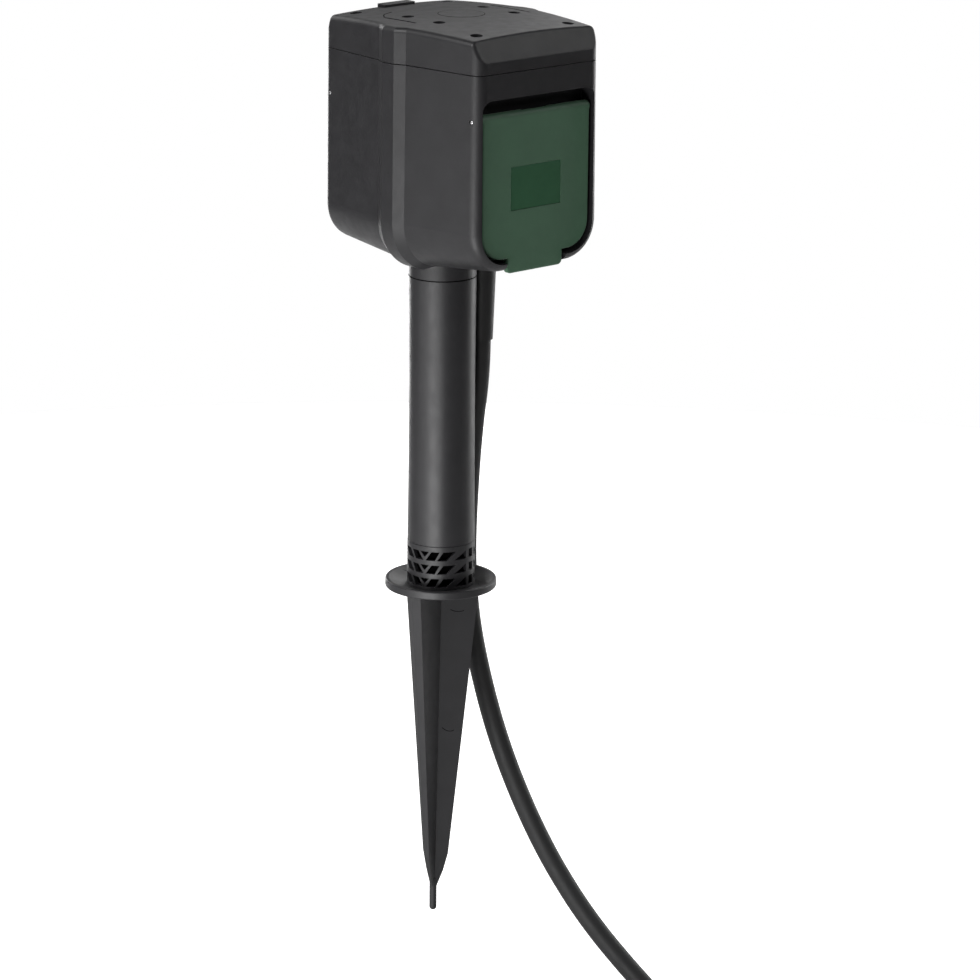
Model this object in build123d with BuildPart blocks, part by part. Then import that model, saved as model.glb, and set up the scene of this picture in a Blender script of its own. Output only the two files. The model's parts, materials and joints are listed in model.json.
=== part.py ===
"""Garden socket on a ground spike: a two-way outdoor socket head on a post, with its lead and plug.

Millimetres. The origin is on the post's axis, at the underside of the ground flange: ground level.
X is to the right and Y to the rear of the front lid, and Z is up.
"""
import math
import os

from build123d import *

os.makedirs("parts", exist_ok=True)

FRONT = -1
REAR = 1
SIDES = {"front": FRONT, "rear": REAR}
FIT = 0.1  # between pieces that are pushed together

# Head: two halves back to back, widest and lowest in the middle and drafted towards each face
HEAD_X = 10.6  # the head's middle stands to the right of the post, which leaves room for the lead
HALF_DEPTH = 54.9
HALF_WIDTH = 43.5
HEAD_BOTTOM = 160.2
HEAD_CORNER = 24.0
HEAD_TAPER = 6.2
SIDE_DRAFT = 1.1  # each side wall stands this much further out at the bottom
SEAM = 259.0  # between the housing and its cover
SEAM_GAP = 0.4
CROWN = 277.7
CROWN_RADIUS = 600.0
BROW_FOOT = 264.4  # where the cover's front and rear facets start to lean back
BROW_LEAN = 23.7
FORM_TOP = 292.0
FACE_ROUNDING = 5.5
BELT_PROUD = 1.6
BELT_HALF_WIDTH = 4.1
BELT_TAPER = 25.7
BELT_FLANK = 6.5
WALL = 2.5

# Lid pocket, measured inwards from the face of the head
POCKET_HALF_WIDTH = 35.0
POCKET_TOP = 247.0
POCKET_BOTTOM = 169.3
POCKET_TOP_CORNER = 5.0
POCKET_BOTTOM_CORNER = 15.0
PLATE_FRONT = 6.8
PLATE_THICKNESS = 2.0
BULKHEAD_FRONT = PLATE_FRONT + PLATE_THICKNESS
BULKHEAD_BACK = BULKHEAD_FRONT + WALL

# Lid
LID_HALF_WIDTH = 33.6
LID_BOTTOM = 171.4
LID_CORNER = 13.0
LID_FRONT = 2.0
LID_THICKNESS = 2.6
TAB_HALF_WIDTH = 17.4
TAB_BOTTOM = 164.2
PIN_HEIGHT = 237.5
PIN_DEPTH = 4.7
PIN_RADIUS = 1.0
PIN_CLEARANCE = 0.06
ROLL_RADIUS = 2.7
SPRING_HALF_LENGTH = 7.0
LABEL_WIDTH = 31.4
LABEL_HEIGHT = 20.6

# Socket well, for a round two-pin plug with side earth contacts
WELL_HEIGHT = 204.0
WELL_RADIUS = 19.5
WELL_DEPTH = 17.5
CUP_WALL = 3.0
CUP_ROOM = 0.5  # round the cup, in the bulkhead
CUP_FLOOR = 3.0
PIN_SPACING = 19.0
HOLE_RADIUS = 3.0
SLEEVE_RADIUS = 3.2
CLIP_WIDTH = 6.0
CLIP_THICKNESS = 0.8

# Cover screws: four near the corners and four round the middle
SCREW_PLACES = [
    (x_side * x_reach, y_side * y_reach)
    for x_reach, y_reach in ((28.6, 42.5), (23.5, 11.0))
    for x_side in (-1, 1)
    for y_side in (-1, 1)
]
SCREW_RADIUS = 1.5
SCREW_HEAD_RADIUS = 2.6
SCREW_POCKET_RADIUS = 3.0
SCREW_POCKET_FLOOR = 272.0
SCREW_FIT = 0.05
COLUMN_RADIUS = 3.2
OUTER_COLUMN_FOOT = 228.0
INNER_COLUMN_FOOT = 190.0
COVER_CEILING = 272.6
DISC_RADIUS = 11.0
DISC_DEPTH = 0.8

# Post, lattice ring and spike
POST_TOP = 153.9
POST_FOOT = 23.5
POST_TOP_RADIUS = 16.15
POST_WAIST_RADIUS = 15.85
POST_FOOT_RADIUS = 16.3
POST_BORE = 14.2
SPIGOT_RADIUS = 14.1
SPIGOT_BORE = 11.8
FLANGE_RADIUS = 27.0
FLANGE_THICKNESS = 4.0
FLANGE_LAND = 1.8
FLANGE_EDGE = 0.6
DISH_FLOOR = 1.6  # the flange's top falls from its rim to the foot of the lattice ring
RING_RADIUS = 16.35
RING_BORE = 14.3
SPIKE_X = -2.1
SPIKE_Y = 1.9
SPIKE_TURN = -6.5
SPIKE_TIP = -169.0

# Lead
LEAD_RADIUS = 5.0
GLAND_X = 24.6
GLAND_SEAT = 157.5
GLAND_OUTLET = 119.0
GLAND_BORE = 6.7
GLAND_SHOULDER_RADIUS = 8.3
GLAND_SHOULDER_LENGTH = 3.0
GLAND_FLANGE_RADIUS = 8.25
GLAND_FLANGE_LIFT = 1.6
GLAND_FLANGE_THICKNESS = 1.8
GLAND_NECK_REACH = 2.0
RELIEF_TIP_RADIUS = 5.9
RELIEF_ROOT_RADIUS = 7.2
TAIL_TOP = 186.0
SHEATH_RADIUS = 4.9
WIRE_RADIUS = 1.4
SEAM_HALF_WIDTH = HALF_WIDTH + SIDE_DRAFT * (FORM_TOP - SEAM) / (FORM_TOP - HEAD_BOTTOM)

# Details of the housing and the cover
SPIGOT_LENGTH = 26.0
GLAND_BOSS_RADIUS = 9.5
NOTCH_ROOM = 2.4  # beside the finger tab
NOTCH_HEIGHT = 14.0
NOTCH_DEPTH = 5.4
BROW_HOLLOW_HALF_WIDTH = 35.2
BROW_HOLLOW_HEIGHT = 12.0
SCREW_GRIP = 14.0  # from the seam down into a column
RIB_THICKNESS = 2.0
SADDLE_WIDTH = 23.0
SADDLE_ARCH_RADIUS = 8.7
SADDLE_ARCH_FOOT = 164.1
SADDLE_ARCH_TOP = 167.2
CLAMP_LENGTH = 19.0
SADDLE_THICKNESS = 3.6
CLAMP_TOP = 183.0
CLAMP_MIDDLE = 178.0
CLAMP_HEIGHT = 8.0
CLAMP_SCREW_REACH = 7.4
CROWN_EDGE = 2.8
BROW_EDGE = 2.0
BELT_CROWN_EDGE = 2.8
FACET_WALL = 2.2
COVER_WALL_INSET = 2.6
LIP_INSET = 4.1
LIP_THICKNESS = 1.2
LIP_DEPTH = 3.0
SEAL_INSET = 0.8
SEAL_WIDTH = 1.4
GROOVES = ((-31.9, 7.1, 23.0), (31.9, 1.0, 28.0))  # place from the head's middle, and length
GROOVE_WIDTH = 1.4
GROOVE_DEPTH = 2.6
PAD_WIDTH = 19.0
PAD_LENGTH = 6.5
PAD_REACH = 46.7
PAD_TOP = 277.2
PAD_CORNER = 1.0
SCREW_HEAD_HEIGHT = 2.0
CROSS_WIDTH = 0.7

# Details of the lids and their springs
TAB_CORNER = 2.5
LID_EDGE = 0.7
LABEL_DEPTH = 0.3
SPRING_RADIUS = 1.75
SPRING_BORE = 1.15
CHANNEL_ROOM = 0.35
SLOT_SIZE = 5.0
LEG_SWEEP = 40.0
LEG_THICKNESS = 0.6
LEG_NEAR = 0.7
LEG_DROP = 8.0
LID_SEAL_RADIUS = 22.8
LID_SEAL_WIDTH = 2.0
LID_SEAL_THICKNESS = 1.8

# Details of the socket inserts
INSERT_INSET = 0.5
PLATE_TOP = 232.0
RIM_WIDTH = 2.6
RIM_HEIGHT = 0.6
GUIDE_DEPTH = 1.9
GUIDE_WIDTH = 5.0
CONTACT_BOSS_RADIUS = 4.5
CONTACT_BOSS_LENGTH = 14.7
BAR_HALF_LENGTH = 11.9
SLEEVE_BORE = 2.5
CLIP_REACH = 18.7
CLIP_BOW = 17.2
CLIP_TIP = 1.6
CLIP_BOW_DEPTH = 9.0
CLIP_SLOT_REACH = 18.4
CLIP_SLOT_WIDTH = 2.2
CLIP_SLOT_LENGTH = 6.8
INSERT_SCREW_REACH = 28.5
INSERT_SCREW_HEIGHTS = (178.5, 228.0)
INSERT_SCREW_RADIUS = 1.25
INSERT_HEAD_RADIUS = 2.3
INSERT_HEAD_HEIGHT = 1.0
INSERT_BOSS_RADIUS = 3.0
INSERT_BOSS_LENGTH = 8.0

# Conductors inside the housing
BAR_SIZE = 6.4
TERMINAL_WIDTH = 7.6
TERMINAL_LENGTH = 9.0
TERMINAL_BOTTOM = 193.0
EARTH_BAR_HEIGHT = 191.4
EARTH_TERMINAL_WIDTH = 6.6
EARTH_TERMINAL_HEIGHT = 7.6
TERMINAL_SCREW_RADIUS = 1.2
WIRE_BEND = 1.8
SHORT_WIRE_BEND = 1.0

# Details of the foot
RING_TOP = 23.3
RING_FOOT = 1.7
RING_WALL_CUT = 4.5
HALF_TURN = 180.0
RING_ROWS = ((16.5, 20.8), (9.8, 14.1), (3.1, 7.4))
LATTICE_START = 199.8  # degrees from +X to the middle of the first downward triangle
RING_OPENINGS = (
    # angles of an opening's top corners, then of its low ones, from the middle of the triangle
    ((12.5, 26.5), (18.3, 2.5)),
    ((33.3, 54.6), (38.8, 22.4)),
    ((77.0,), (77.0, 51.6)),
    ((84.0, 96.0), (96.0, 84.0)),
)
TRIANGLE_HALF = 8.0
TRIANGLE_LIFT = 1.7
SPIGOT_TOP = 48.0
BLADES = 3
SPIKE_SECTIONS = (
    # height, blade reach, inner corner, blade width
    (0.0, 21.5, 5.8, 5.0),
    (-139.0, 7.25, 1.9, 2.4),
    (-148.0, 4.9, 1.5, 1.8),
    (-156.5, 1.7, 0.9, 1.0),
)
ROD_RADIUS = 1.8
ROD_TOP = -152.5
TIP_ROUNDING = 1.62
NECK_RADIUS = 9.0  # inside the lattice ring
NECK_BORE = 6.5
RING_SEAT = 2.9  # the step that centres the ring's foot
NECK_TOP = 16.5
SHOULDER = 21.6

# Route of the free lead, from the relief's outlet to the start of the coil
LEAD_ROUTE = (
    (24.6, 0.0, GLAND_OUTLET),
    (24.6, 0.0, 102.6),
    (27.5, 8.2, 72.2),
    (29.2, 13.0, 39.9),
    (31.4, 17.0, 5.5),
    (32.7, 15.4, -27.1),
    (36.9, 10.2, -59.9),
    (41.0, 1.1, -91.8),
    (47.0, -11.2, -123.3),
    (54.0, -24.5, -151.0),
    (61.8, -43.7, -178.3),
    (73.9, -65.2, -204.6),
    (82.5, -87.0, -223.5),
    (86.5, -109.5, -234.0),
    (83.5, -133.0, -237.5),
    (75.0, -154.5, -237.5),
)

# The rest of the lead: two layers of half turns, wound inwards below and outwards above
COIL_RADIUS = 62.0
COIL_STEP = 5.45  # the radius's change at each half turn
COIL_STEPS = (0, 1, 2, 3, 2, 1)  # how many changes in from the widest, for each half turn
COIL_RISE = 11.6
COIL_END = 38.0  # straight, into the plug
RUN_SHARE = 0.45  # of the shorter run beside a bend, taken by the bend's arc
SAMPLE_STEP = 4.0  # between the points at which the coil's gap is measured
STRAP_WIDTH = 10.0
STRAP_THICKNESS = 1.2
STRAP_ROOM = 1.0
STRAP_PLACE = -67.0
STRAP_ARCS = (0, 2, 4)  # the half turns that run through the strap

# Plug
PLUG_FACE_RADIUS = 18.25
PLUG_RELIEF_LENGTH = 24.0
PLUG_GRIP_LENGTH = 30.0
PLUG_HEAD_LENGTH = 10.0
PLUG_NECK_RADIUS = 7.5
PLUG_GRIP_RADIUS = 12.5
PLUG_PIN_RADIUS = 2.4
PLUG_PIN_LENGTH = 19.0
PLUG_GROOVES = 3
PLUG_GROOVE_PITCH = 3.6
PLUG_GROOVE_WIDTH = 1.2
PLUG_RELIEF_TIP_RADIUS = 6.0
PLUG_SHOULDER_STEP = 3.0
PLUG_PIN_ROUNDING = 1.44


def at(side, depth):
    """The plane across one half of the head, `depth` inside its face, looking outwards."""
    level = side * (HALF_DEPTH - depth)
    return Plane(origin=(HEAD_X, level, 0), x_dir=(-side, 0, 0), z_dir=(0, side, 0))


def rod(radius, length):
    """A rod along Z, centred on the origin, to be placed."""
    return Cylinder(radius, length, mode=Mode.PRIVATE)


def block(width, length, height):
    """A box centred on the origin, to be placed."""
    return Box(width, length, height, mode=Mode.PRIVATE)


def level_box(width, length, low, high, x=0.0, y=0.0):
    """A box between two levels, centred at x, y."""
    return Pos(x, y, (low + high) / 2) * block(width, length, high - low)


def level_rod(radius, low, high, x=0.0, y=0.0):
    """An upright rod between two levels, centred at x, y."""
    return Pos(x, y, (low + high) / 2) * rod(radius, high - low)


def head_section(plane, grow):
    """The head's outline at its middle, `grow` larger all round."""
    half_width = HALF_WIDTH + grow
    bottom = HEAD_BOTTOM - grow
    with BuildSketch(plane) as outline:
        with BuildLine():
            Polyline(
                (-half_width, FORM_TOP),
                (-half_width - SIDE_DRAFT, bottom),
                (half_width + SIDE_DRAFT, bottom),
                (half_width, FORM_TOP),
                close=True,
            )
        make_face()
        fillet(outline.vertices().sort_by(Axis.Y)[:2], radius=HEAD_CORNER + grow)
    return outline.sketch


def head_form(grow, half_depth):
    """Both tapered halves of the head as one solid, `grow` larger than the outside."""
    with BuildPart() as form:
        for side in (FRONT, REAR):
            extrude(head_section(at(side, HALF_DEPTH), grow), amount=half_depth, taper=HEAD_TAPER)
    return form.part


def pocket_outline(side, depth, inset):
    """The lid pocket's outline, `inset` smaller all round."""
    half_width = POCKET_HALF_WIDTH - inset
    low = POCKET_BOTTOM + inset
    high = POCKET_TOP - inset
    with BuildSketch(at(side, depth)) as outline:
        with BuildLine():
            Polyline(
                (-half_width, low),
                (half_width, low),
                (half_width, high),
                (-half_width, high),
                close=True,
            )
        make_face()
        fillet(outline.vertices().sort_by(Axis.Y)[:2], radius=POCKET_BOTTOM_CORNER - inset)
        fillet(outline.vertices().sort_by(Axis.Y)[-2:], radius=POCKET_TOP_CORNER - inset)
    return outline.sketch


def finish(piece, name):
    """Names a finished piece and writes it."""
    piece.label = name
    export_step(piece, f"parts/{name}.step")


def rim_outline(inset):
    """The head's outline at the seam, `inset` smaller all round."""
    middle = SEAM_HALF_WIDTH - inset
    face = SEAM_HALF_WIDTH - HALF_DEPTH * math.tan(math.radians(HEAD_TAPER)) - inset
    reach = HALF_DEPTH - inset
    with BuildSketch(Plane.XY) as outline:
        with Locations((HEAD_X, 0)):
            Polygon(
                (-face, -reach),
                (face, -reach),
                (middle, 0),
                (face, reach),
                (-face, reach),
                (-middle, 0),
                align=None,
            )
        corners = outline.vertices().filter_by(lambda corner: abs(corner.Y) > BELT_FLANK)
        fillet(corners, radius=FACE_ROUNDING - inset / 2)
    return outline.sketch


def level_ring(outer_inset, inner_inset, low, high):
    """A ring that follows the seam's outline between two levels."""
    with BuildPart() as ring:
        extrude(Pos(0, 0, low) * rim_outline(outer_inset), amount=high - low)
        extrude(Pos(0, 0, low) * rim_outline(inner_inset), amount=high - low, mode=Mode.SUBTRACT)
    return ring.part


def crown_tool():
    """Everything below the crowned top."""
    reach = 2 * HALF_DEPTH
    fall = CROWN_RADIUS - math.sqrt(CROWN_RADIUS**2 - reach**2)
    quarter_fall = CROWN_RADIUS - math.sqrt(CROWN_RADIUS**2 - (reach / 2) ** 2)
    with BuildPart() as tool:
        with BuildSketch(Plane.XZ):
            with BuildLine():
                Polyline((0, CROWN), (0, POCKET_BOTTOM), (reach, POCKET_BOTTOM), (reach, CROWN - fall))
                ThreePointArc((reach, CROWN - fall), (reach / 2, CROWN - quarter_fall), (0, CROWN))
            make_face()
        revolve(axis=Axis.Z)
    return Pos(HEAD_X, 0, 0) * tool.part


def across(side, depth, height):
    """The place on the hinge side of the head for rods that lie along X."""
    return Pos(HEAD_X, side * (HALF_DEPTH - depth), height) * Rot(0, 90, 0)


# Outside of the head, with rounded edges at both faces, and the belt round its middle
with BuildPart() as outside:
    add(head_form(0, HALF_DEPTH))
    for side in (FRONT, REAR):
        face = outside.faces().sort_by(Axis.Y)[0 if side == FRONT else -1]
        fillet(face.edges().filter_by(lambda edge: edge.center().Z < CROWN), radius=FACE_ROUNDING)
with BuildPart() as belt:
    for side in (FRONT, REAR):
        extrude(head_section(at(side, HALF_DEPTH), BELT_PROUD), amount=BELT_HALF_WIDTH)
        ridge = head_section(at(side, HALF_DEPTH - BELT_HALF_WIDTH), BELT_PROUD)
        extrude(ridge, amount=BELT_FLANK, taper=BELT_TAPER)

inside = head_form(-WALL, HALF_DEPTH - BULKHEAD_BACK)
COLUMNS = [
    (x, y, OUTER_COLUMN_FOOT if abs(y) > HALF_DEPTH / 2 else INNER_COLUMN_FOOT) for x, y in SCREW_PLACES
]

# Housing: walls, a bulkhead behind each lid pocket, columns for the cover's screws,
# the collar and spigot for the post, the boss for the lead and the saddle of its clamp
with BuildPart() as head_body:
    add(outside.part)
    add(belt.part)
    split(bisect_by=Plane.XY.offset(SEAM - SEAM_GAP / 2), keep=Keep.BOTTOM)
    add(level_rod(POST_TOP_RADIUS, POST_TOP + FIT, HEAD_BOTTOM + 3))
    add(level_rod(SPIGOT_RADIUS - FIT, POST_TOP - SPIGOT_LENGTH, HEAD_BOTTOM + 1))
    add(level_rod(GLAND_BOSS_RADIUS, GLAND_SEAT, HEAD_BOTTOM + 2, x=GLAND_X))
    add(inside, mode=Mode.SUBTRACT)
    for side in (FRONT, REAR):
        extrude(pocket_outline(side, 0, 0), amount=-BULKHEAD_FRONT, mode=Mode.SUBTRACT)
        with BuildSketch(at(side, BULKHEAD_FRONT)):
            with Locations((0, WELL_HEIGHT)):
                Circle(WELL_RADIUS + CUP_WALL + CUP_ROOM)
        extrude(amount=-2 * WALL, mode=Mode.SUBTRACT)
        with BuildSketch(at(side, -1)):
            with Locations((0, POCKET_BOTTOM - NOTCH_HEIGHT / 2 + 1)):
                Rectangle(2 * TAB_HALF_WIDTH + NOTCH_ROOM, NOTCH_HEIGHT)
        extrude(amount=-NOTCH_DEPTH - 1, mode=Mode.SUBTRACT)
        with BuildSketch(at(side, WALL)):
            with Locations((0, POCKET_TOP + WALL + BROW_HOLLOW_HEIGHT / 2)):
                Rectangle(2 * BROW_HOLLOW_HALF_WIDTH, BROW_HOLLOW_HEIGHT)
        extrude(amount=-BULKHEAD_BACK + WALL, mode=Mode.SUBTRACT)
    for x, y, foot in COLUMNS:
        add(level_rod(COLUMN_RADIUS, foot, SEAM - SEAM_GAP / 2, x=HEAD_X + x, y=y))
        rib_reach = HALF_WIDTH - WALL / 2 - abs(y) * math.tan(math.radians(HEAD_TAPER)) - abs(x)
        rib_middle = HEAD_X + math.copysign(abs(x) + rib_reach / 2, x)
        add(level_box(rib_reach, RIB_THICKNESS, foot, SEAM - LIP_DEPTH - 1, x=rib_middle, y=y))
        hole = level_rod(SCREW_RADIUS + SCREW_FIT, SEAM - SCREW_GRIP, SEAM + 1, x=HEAD_X + x, y=y)
        add(hole, mode=Mode.SUBTRACT)
    saddle_middle = SHEATH_RADIUS + SCREW_FIT + SADDLE_THICKNESS / 2
    saddle_foot = HEAD_BOTTOM + 1
    add(level_box(SADDLE_WIDTH, SADDLE_THICKNESS, saddle_foot, CLAMP_TOP, x=GLAND_X, y=saddle_middle))
    arch = level_rod(SADDLE_ARCH_RADIUS, SADDLE_ARCH_FOOT, SADDLE_ARCH_TOP, x=GLAND_X)
    add(arch, mode=Mode.SUBTRACT)
    for side in (FRONT, REAR):
        for across_sign in (-1, 1):
            for height in INSERT_SCREW_HEIGHTS:
                with BuildSketch(at(side, BULKHEAD_FRONT + WALL / 2)):
                    with Locations((across_sign * INSERT_SCREW_REACH, height)):
                        Circle(INSERT_BOSS_RADIUS)
                extrude(amount=-INSERT_BOSS_LENGTH)
                with BuildSketch(at(side, BULKHEAD_FRONT - 1)):
                    with Locations((across_sign * INSERT_SCREW_REACH, height)):
                        Circle(INSERT_SCREW_RADIUS + SCREW_FIT)
                extrude(amount=-INSERT_BOSS_LENGTH, mode=Mode.SUBTRACT)
    for clamp_side in (-1, 1):
        screw_hole = Pos(GLAND_X + clamp_side * CLAMP_SCREW_REACH, saddle_middle, CLAMP_MIDDLE)
        add(screw_hole * Rot(90, 0, 0) * rod(SCREW_RADIUS + SCREW_FIT, 4 * SADDLE_THICKNESS),
            mode=Mode.SUBTRACT)
    bore_top = HEAD_BOTTOM - 2
    add(level_rod(SPIGOT_BORE, POST_TOP - 2 * SPIGOT_LENGTH, bore_top), mode=Mode.SUBTRACT)
    boss_top = HEAD_BOTTOM + WALL + GLAND_FLANGE_LIFT - FIT
    add(level_rod(GLAND_BORE, GLAND_SEAT - 1, boss_top, x=GLAND_X), mode=Mode.SUBTRACT)
    for side in (FRONT, REAR):
        bore = across(side, PIN_DEPTH, PIN_HEIGHT) * rod(PIN_RADIUS + SCREW_FIT, 3 * HALF_WIDTH)
        add(bore, mode=Mode.SUBTRACT)
finish(head_body.part, "head_body")


def crowned(form, rim_filter, rounding):
    """The part of a form above the seam, with a crowned top whose chosen edges are rounded."""
    with BuildPart() as cap:
        add(form)
        split(bisect_by=Plane.XY.offset(SEAM + SEAM_GAP / 2), keep=Keep.TOP)
        add(crown_tool(), mode=Mode.INTERSECT)
        rim = cap.faces().sort_by(Axis.Z)[-1].edges().filter_by(rim_filter)
        fillet(rim, radius=rounding)
    return cap.part


def leans_back(face, side):
    """How much a face looks both up and out of one side of the head."""
    normal = face.normal_at()
    return normal.Y * side * normal.Z


def facet(side, inset):
    """The plane that leans back over a lid, or one that lies `inset` inside it."""
    lean = math.radians(BROW_LEAN)
    out = Vector(0, side * math.cos(lean), math.sin(lean))
    foot = Vector(HEAD_X, side * HALF_DEPTH, BROW_FOOT)
    return Plane(origin=foot - out * inset, x_dir=(1, 0, 0), z_dir=out)


# Cover: a crowned cap with rounded shoulders, a facet that leans back over each lid, and a lip
with BuildPart() as cover_hollow:
    extrude(Pos(0, 0, SEAM - 1) * rim_outline(COVER_WALL_INSET), amount=COVER_CEILING - SEAM + 1)
    for side in (FRONT, REAR):
        split(bisect_by=facet(side, FACET_WALL), keep=Keep.BOTTOM)

with BuildPart() as head_cover:
    add(crowned(outside.part, lambda edge: True, CROWN_EDGE))
    for side in (FRONT, REAR):
        split(bisect_by=facet(side, 0), keep=Keep.BOTTOM)
        leaning = head_cover.faces().sort_by(lambda face: leans_back(face, side))[-1]
        fillet(leaning.edges().sort_by(Axis.Z)[-1], radius=BROW_EDGE)
    add(crowned(belt.part, lambda edge: abs(edge.center().X - HEAD_X) > HALF_WIDTH, BELT_CROWN_EDGE))
    with BuildSketch(Plane.XY.offset(COVER_CEILING)):
        with Locations((HEAD_X, PAD_REACH)):
            RectangleRounded(PAD_WIDTH, PAD_LENGTH, PAD_CORNER)
    extrude(amount=PAD_TOP - COVER_CEILING)
    add(cover_hollow.part, mode=Mode.SUBTRACT)
    add(level_ring(LIP_INSET, LIP_INSET + LIP_THICKNESS, SEAM - LIP_DEPTH, COVER_CEILING + FIT))
    for x, y in SCREW_PLACES:
        add(level_rod(COLUMN_RADIUS + 1, SEAM + SEAM_GAP / 2, COVER_CEILING + 1, x=HEAD_X + x, y=y))
    for x, y in SCREW_PLACES:
        hole = level_rod(SCREW_RADIUS + FIT, SEAM - 1, CROWN, x=HEAD_X + x, y=y)
        add(hole, mode=Mode.SUBTRACT)
        recess = level_rod(SCREW_POCKET_RADIUS, SCREW_POCKET_FLOOR, CROWN + 1, x=HEAD_X + x, y=y)
        add(recess, mode=Mode.SUBTRACT)
    add(level_rod(DISC_RADIUS + FIT, CROWN - DISC_DEPTH, CROWN + 1, x=HEAD_X), mode=Mode.SUBTRACT)
    for x, y, length in GROOVES:
        groove = level_box(GROOVE_WIDTH, length, CROWN - GROOVE_DEPTH, CROWN + 1, x=HEAD_X + x, y=y)
        add(groove, mode=Mode.SUBTRACT)
finish(head_cover.part, "head_cover")

# Disc that closes the recess in the middle of the cover
with BuildPart() as top_disc:
    add(level_rod(DISC_RADIUS, CROWN - DISC_DEPTH, CROWN, x=HEAD_X))
    fillet(top_disc.faces().sort_by(Axis.Z)[-1].edges(), radius=DISC_DEPTH / 3)
finish(top_disc.part, "top_disc")

# Gasket in the seam under the cover
with BuildPart() as cover_seal:
    add(level_ring(SEAL_INSET, SEAL_INSET + SEAL_WIDTH, SEAM - SEAM_GAP / 2, SEAM + SEAM_GAP / 2))
finish(cover_seal.part, "cover_seal")


def pan_screw(place, length):
    """A cross-headed screw at a place whose Z points out of its head; the origin is under the head."""
    with BuildPart() as screw:
        with BuildSketch(Plane.XY):
            Circle(SCREW_HEAD_RADIUS)
        extrude(amount=SCREW_HEAD_HEIGHT)
        fillet(screw.faces().sort_by(Axis.Z)[-1].edges(), radius=SCREW_HEAD_HEIGHT / 3)
        with BuildSketch(Plane.XY):
            Circle(SCREW_RADIUS)
        extrude(amount=-length)
        with BuildSketch(Plane.XY.offset(SCREW_HEAD_HEIGHT)):
            Rectangle(2 * SCREW_RADIUS, CROSS_WIDTH)
            Rectangle(CROSS_WIDTH, 2 * SCREW_RADIUS)
        extrude(amount=-SCREW_HEAD_HEIGHT / 2, mode=Mode.SUBTRACT)
    return place * screw.part


# Screws that hold the cover to the housing's columns
with BuildPart() as cover_screws:
    for x, y in SCREW_PLACES:
        screw_length = SCREW_POCKET_FLOOR - SEAM + SCREW_GRIP - 2
        add(pan_screw(Pos(HEAD_X + x, y, SCREW_POCKET_FLOOR), screw_length))
finish(cover_screws.part, "cover_screws")


def lid_form(side):
    """A spring lid with a rolled hinge edge, a finger tab and a shallow bare label field."""
    with BuildPart() as lid:
        with BuildSketch(at(side, LID_FRONT)) as outline:
            with Locations((0, (LID_BOTTOM + PIN_HEIGHT) / 2)):
                Rectangle(2 * LID_HALF_WIDTH, PIN_HEIGHT - LID_BOTTOM)
            fillet(outline.vertices().sort_by(Axis.Y)[:2], radius=LID_CORNER)
            with Locations((0, (TAB_BOTTOM + LID_BOTTOM) / 2 + 1)):
                Rectangle(2 * TAB_HALF_WIDTH, LID_BOTTOM - TAB_BOTTOM + 2)
            fillet(outline.vertices().sort_by(Axis.Y)[:2], radius=TAB_CORNER)
        extrude(amount=-LID_THICKNESS)
        front = lid.faces().sort_by(Axis.Y)[0 if side == FRONT else -1]
        fillet(front.edges().filter_by(lambda edge: edge.center().Z < PIN_HEIGHT - 1), radius=LID_EDGE)
        add(across(side, PIN_DEPTH, PIN_HEIGHT) * rod(ROLL_RADIUS, 2 * LID_HALF_WIDTH))
        bore = rod(PIN_RADIUS + PIN_CLEARANCE, 3 * LID_HALF_WIDTH)
        add(across(side, PIN_DEPTH, PIN_HEIGHT) * bore, mode=Mode.SUBTRACT)
        channel = rod(SPRING_RADIUS + CHANNEL_ROOM, 2 * SPRING_HALF_LENGTH + 2)
        add(across(side, PIN_DEPTH, PIN_HEIGHT) * channel, mode=Mode.SUBTRACT)
        slot = block(2 * SPRING_HALF_LENGTH + 2, SLOT_SIZE, 2 * ROLL_RADIUS + 2)
        for turn in (0, LEG_SWEEP):
            hub = Pos(HEAD_X, side * (HALF_DEPTH - PIN_DEPTH), PIN_HEIGHT) * Rot(-side * turn, 0, 0)
            add(hub * Pos(0, -side * (SLOT_SIZE / 2 - FIT), 0) * slot, mode=Mode.SUBTRACT)
        with BuildSketch(at(side, LID_FRONT)):
            with Locations((0, WELL_HEIGHT)):
                Rectangle(LABEL_WIDTH, LABEL_HEIGHT)
        extrude(amount=-LABEL_DEPTH, mode=Mode.SUBTRACT)
    return lid.part


def seal_form(side):
    """A flat sealing ring on the back of a lid, round the socket's rim."""
    with BuildPart() as seal:
        with BuildSketch(at(side, LID_FRONT + LID_THICKNESS)):
            with Locations((0, WELL_HEIGHT)):
                Circle(LID_SEAL_RADIUS + LID_SEAL_WIDTH)
                Circle(LID_SEAL_RADIUS, mode=Mode.SUBTRACT)
        extrude(amount=-LID_SEAL_THICKNESS)
    return seal.part


def pin_form(side):
    """A hinge pin that ends flush with the housing's side walls."""
    taper_loss = (HALF_DEPTH - PIN_DEPTH) * math.tan(math.radians(HEAD_TAPER))
    return across(side, PIN_DEPTH, PIN_HEIGHT) * rod(PIN_RADIUS, 2 * (HALF_WIDTH - taper_loss))


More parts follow.
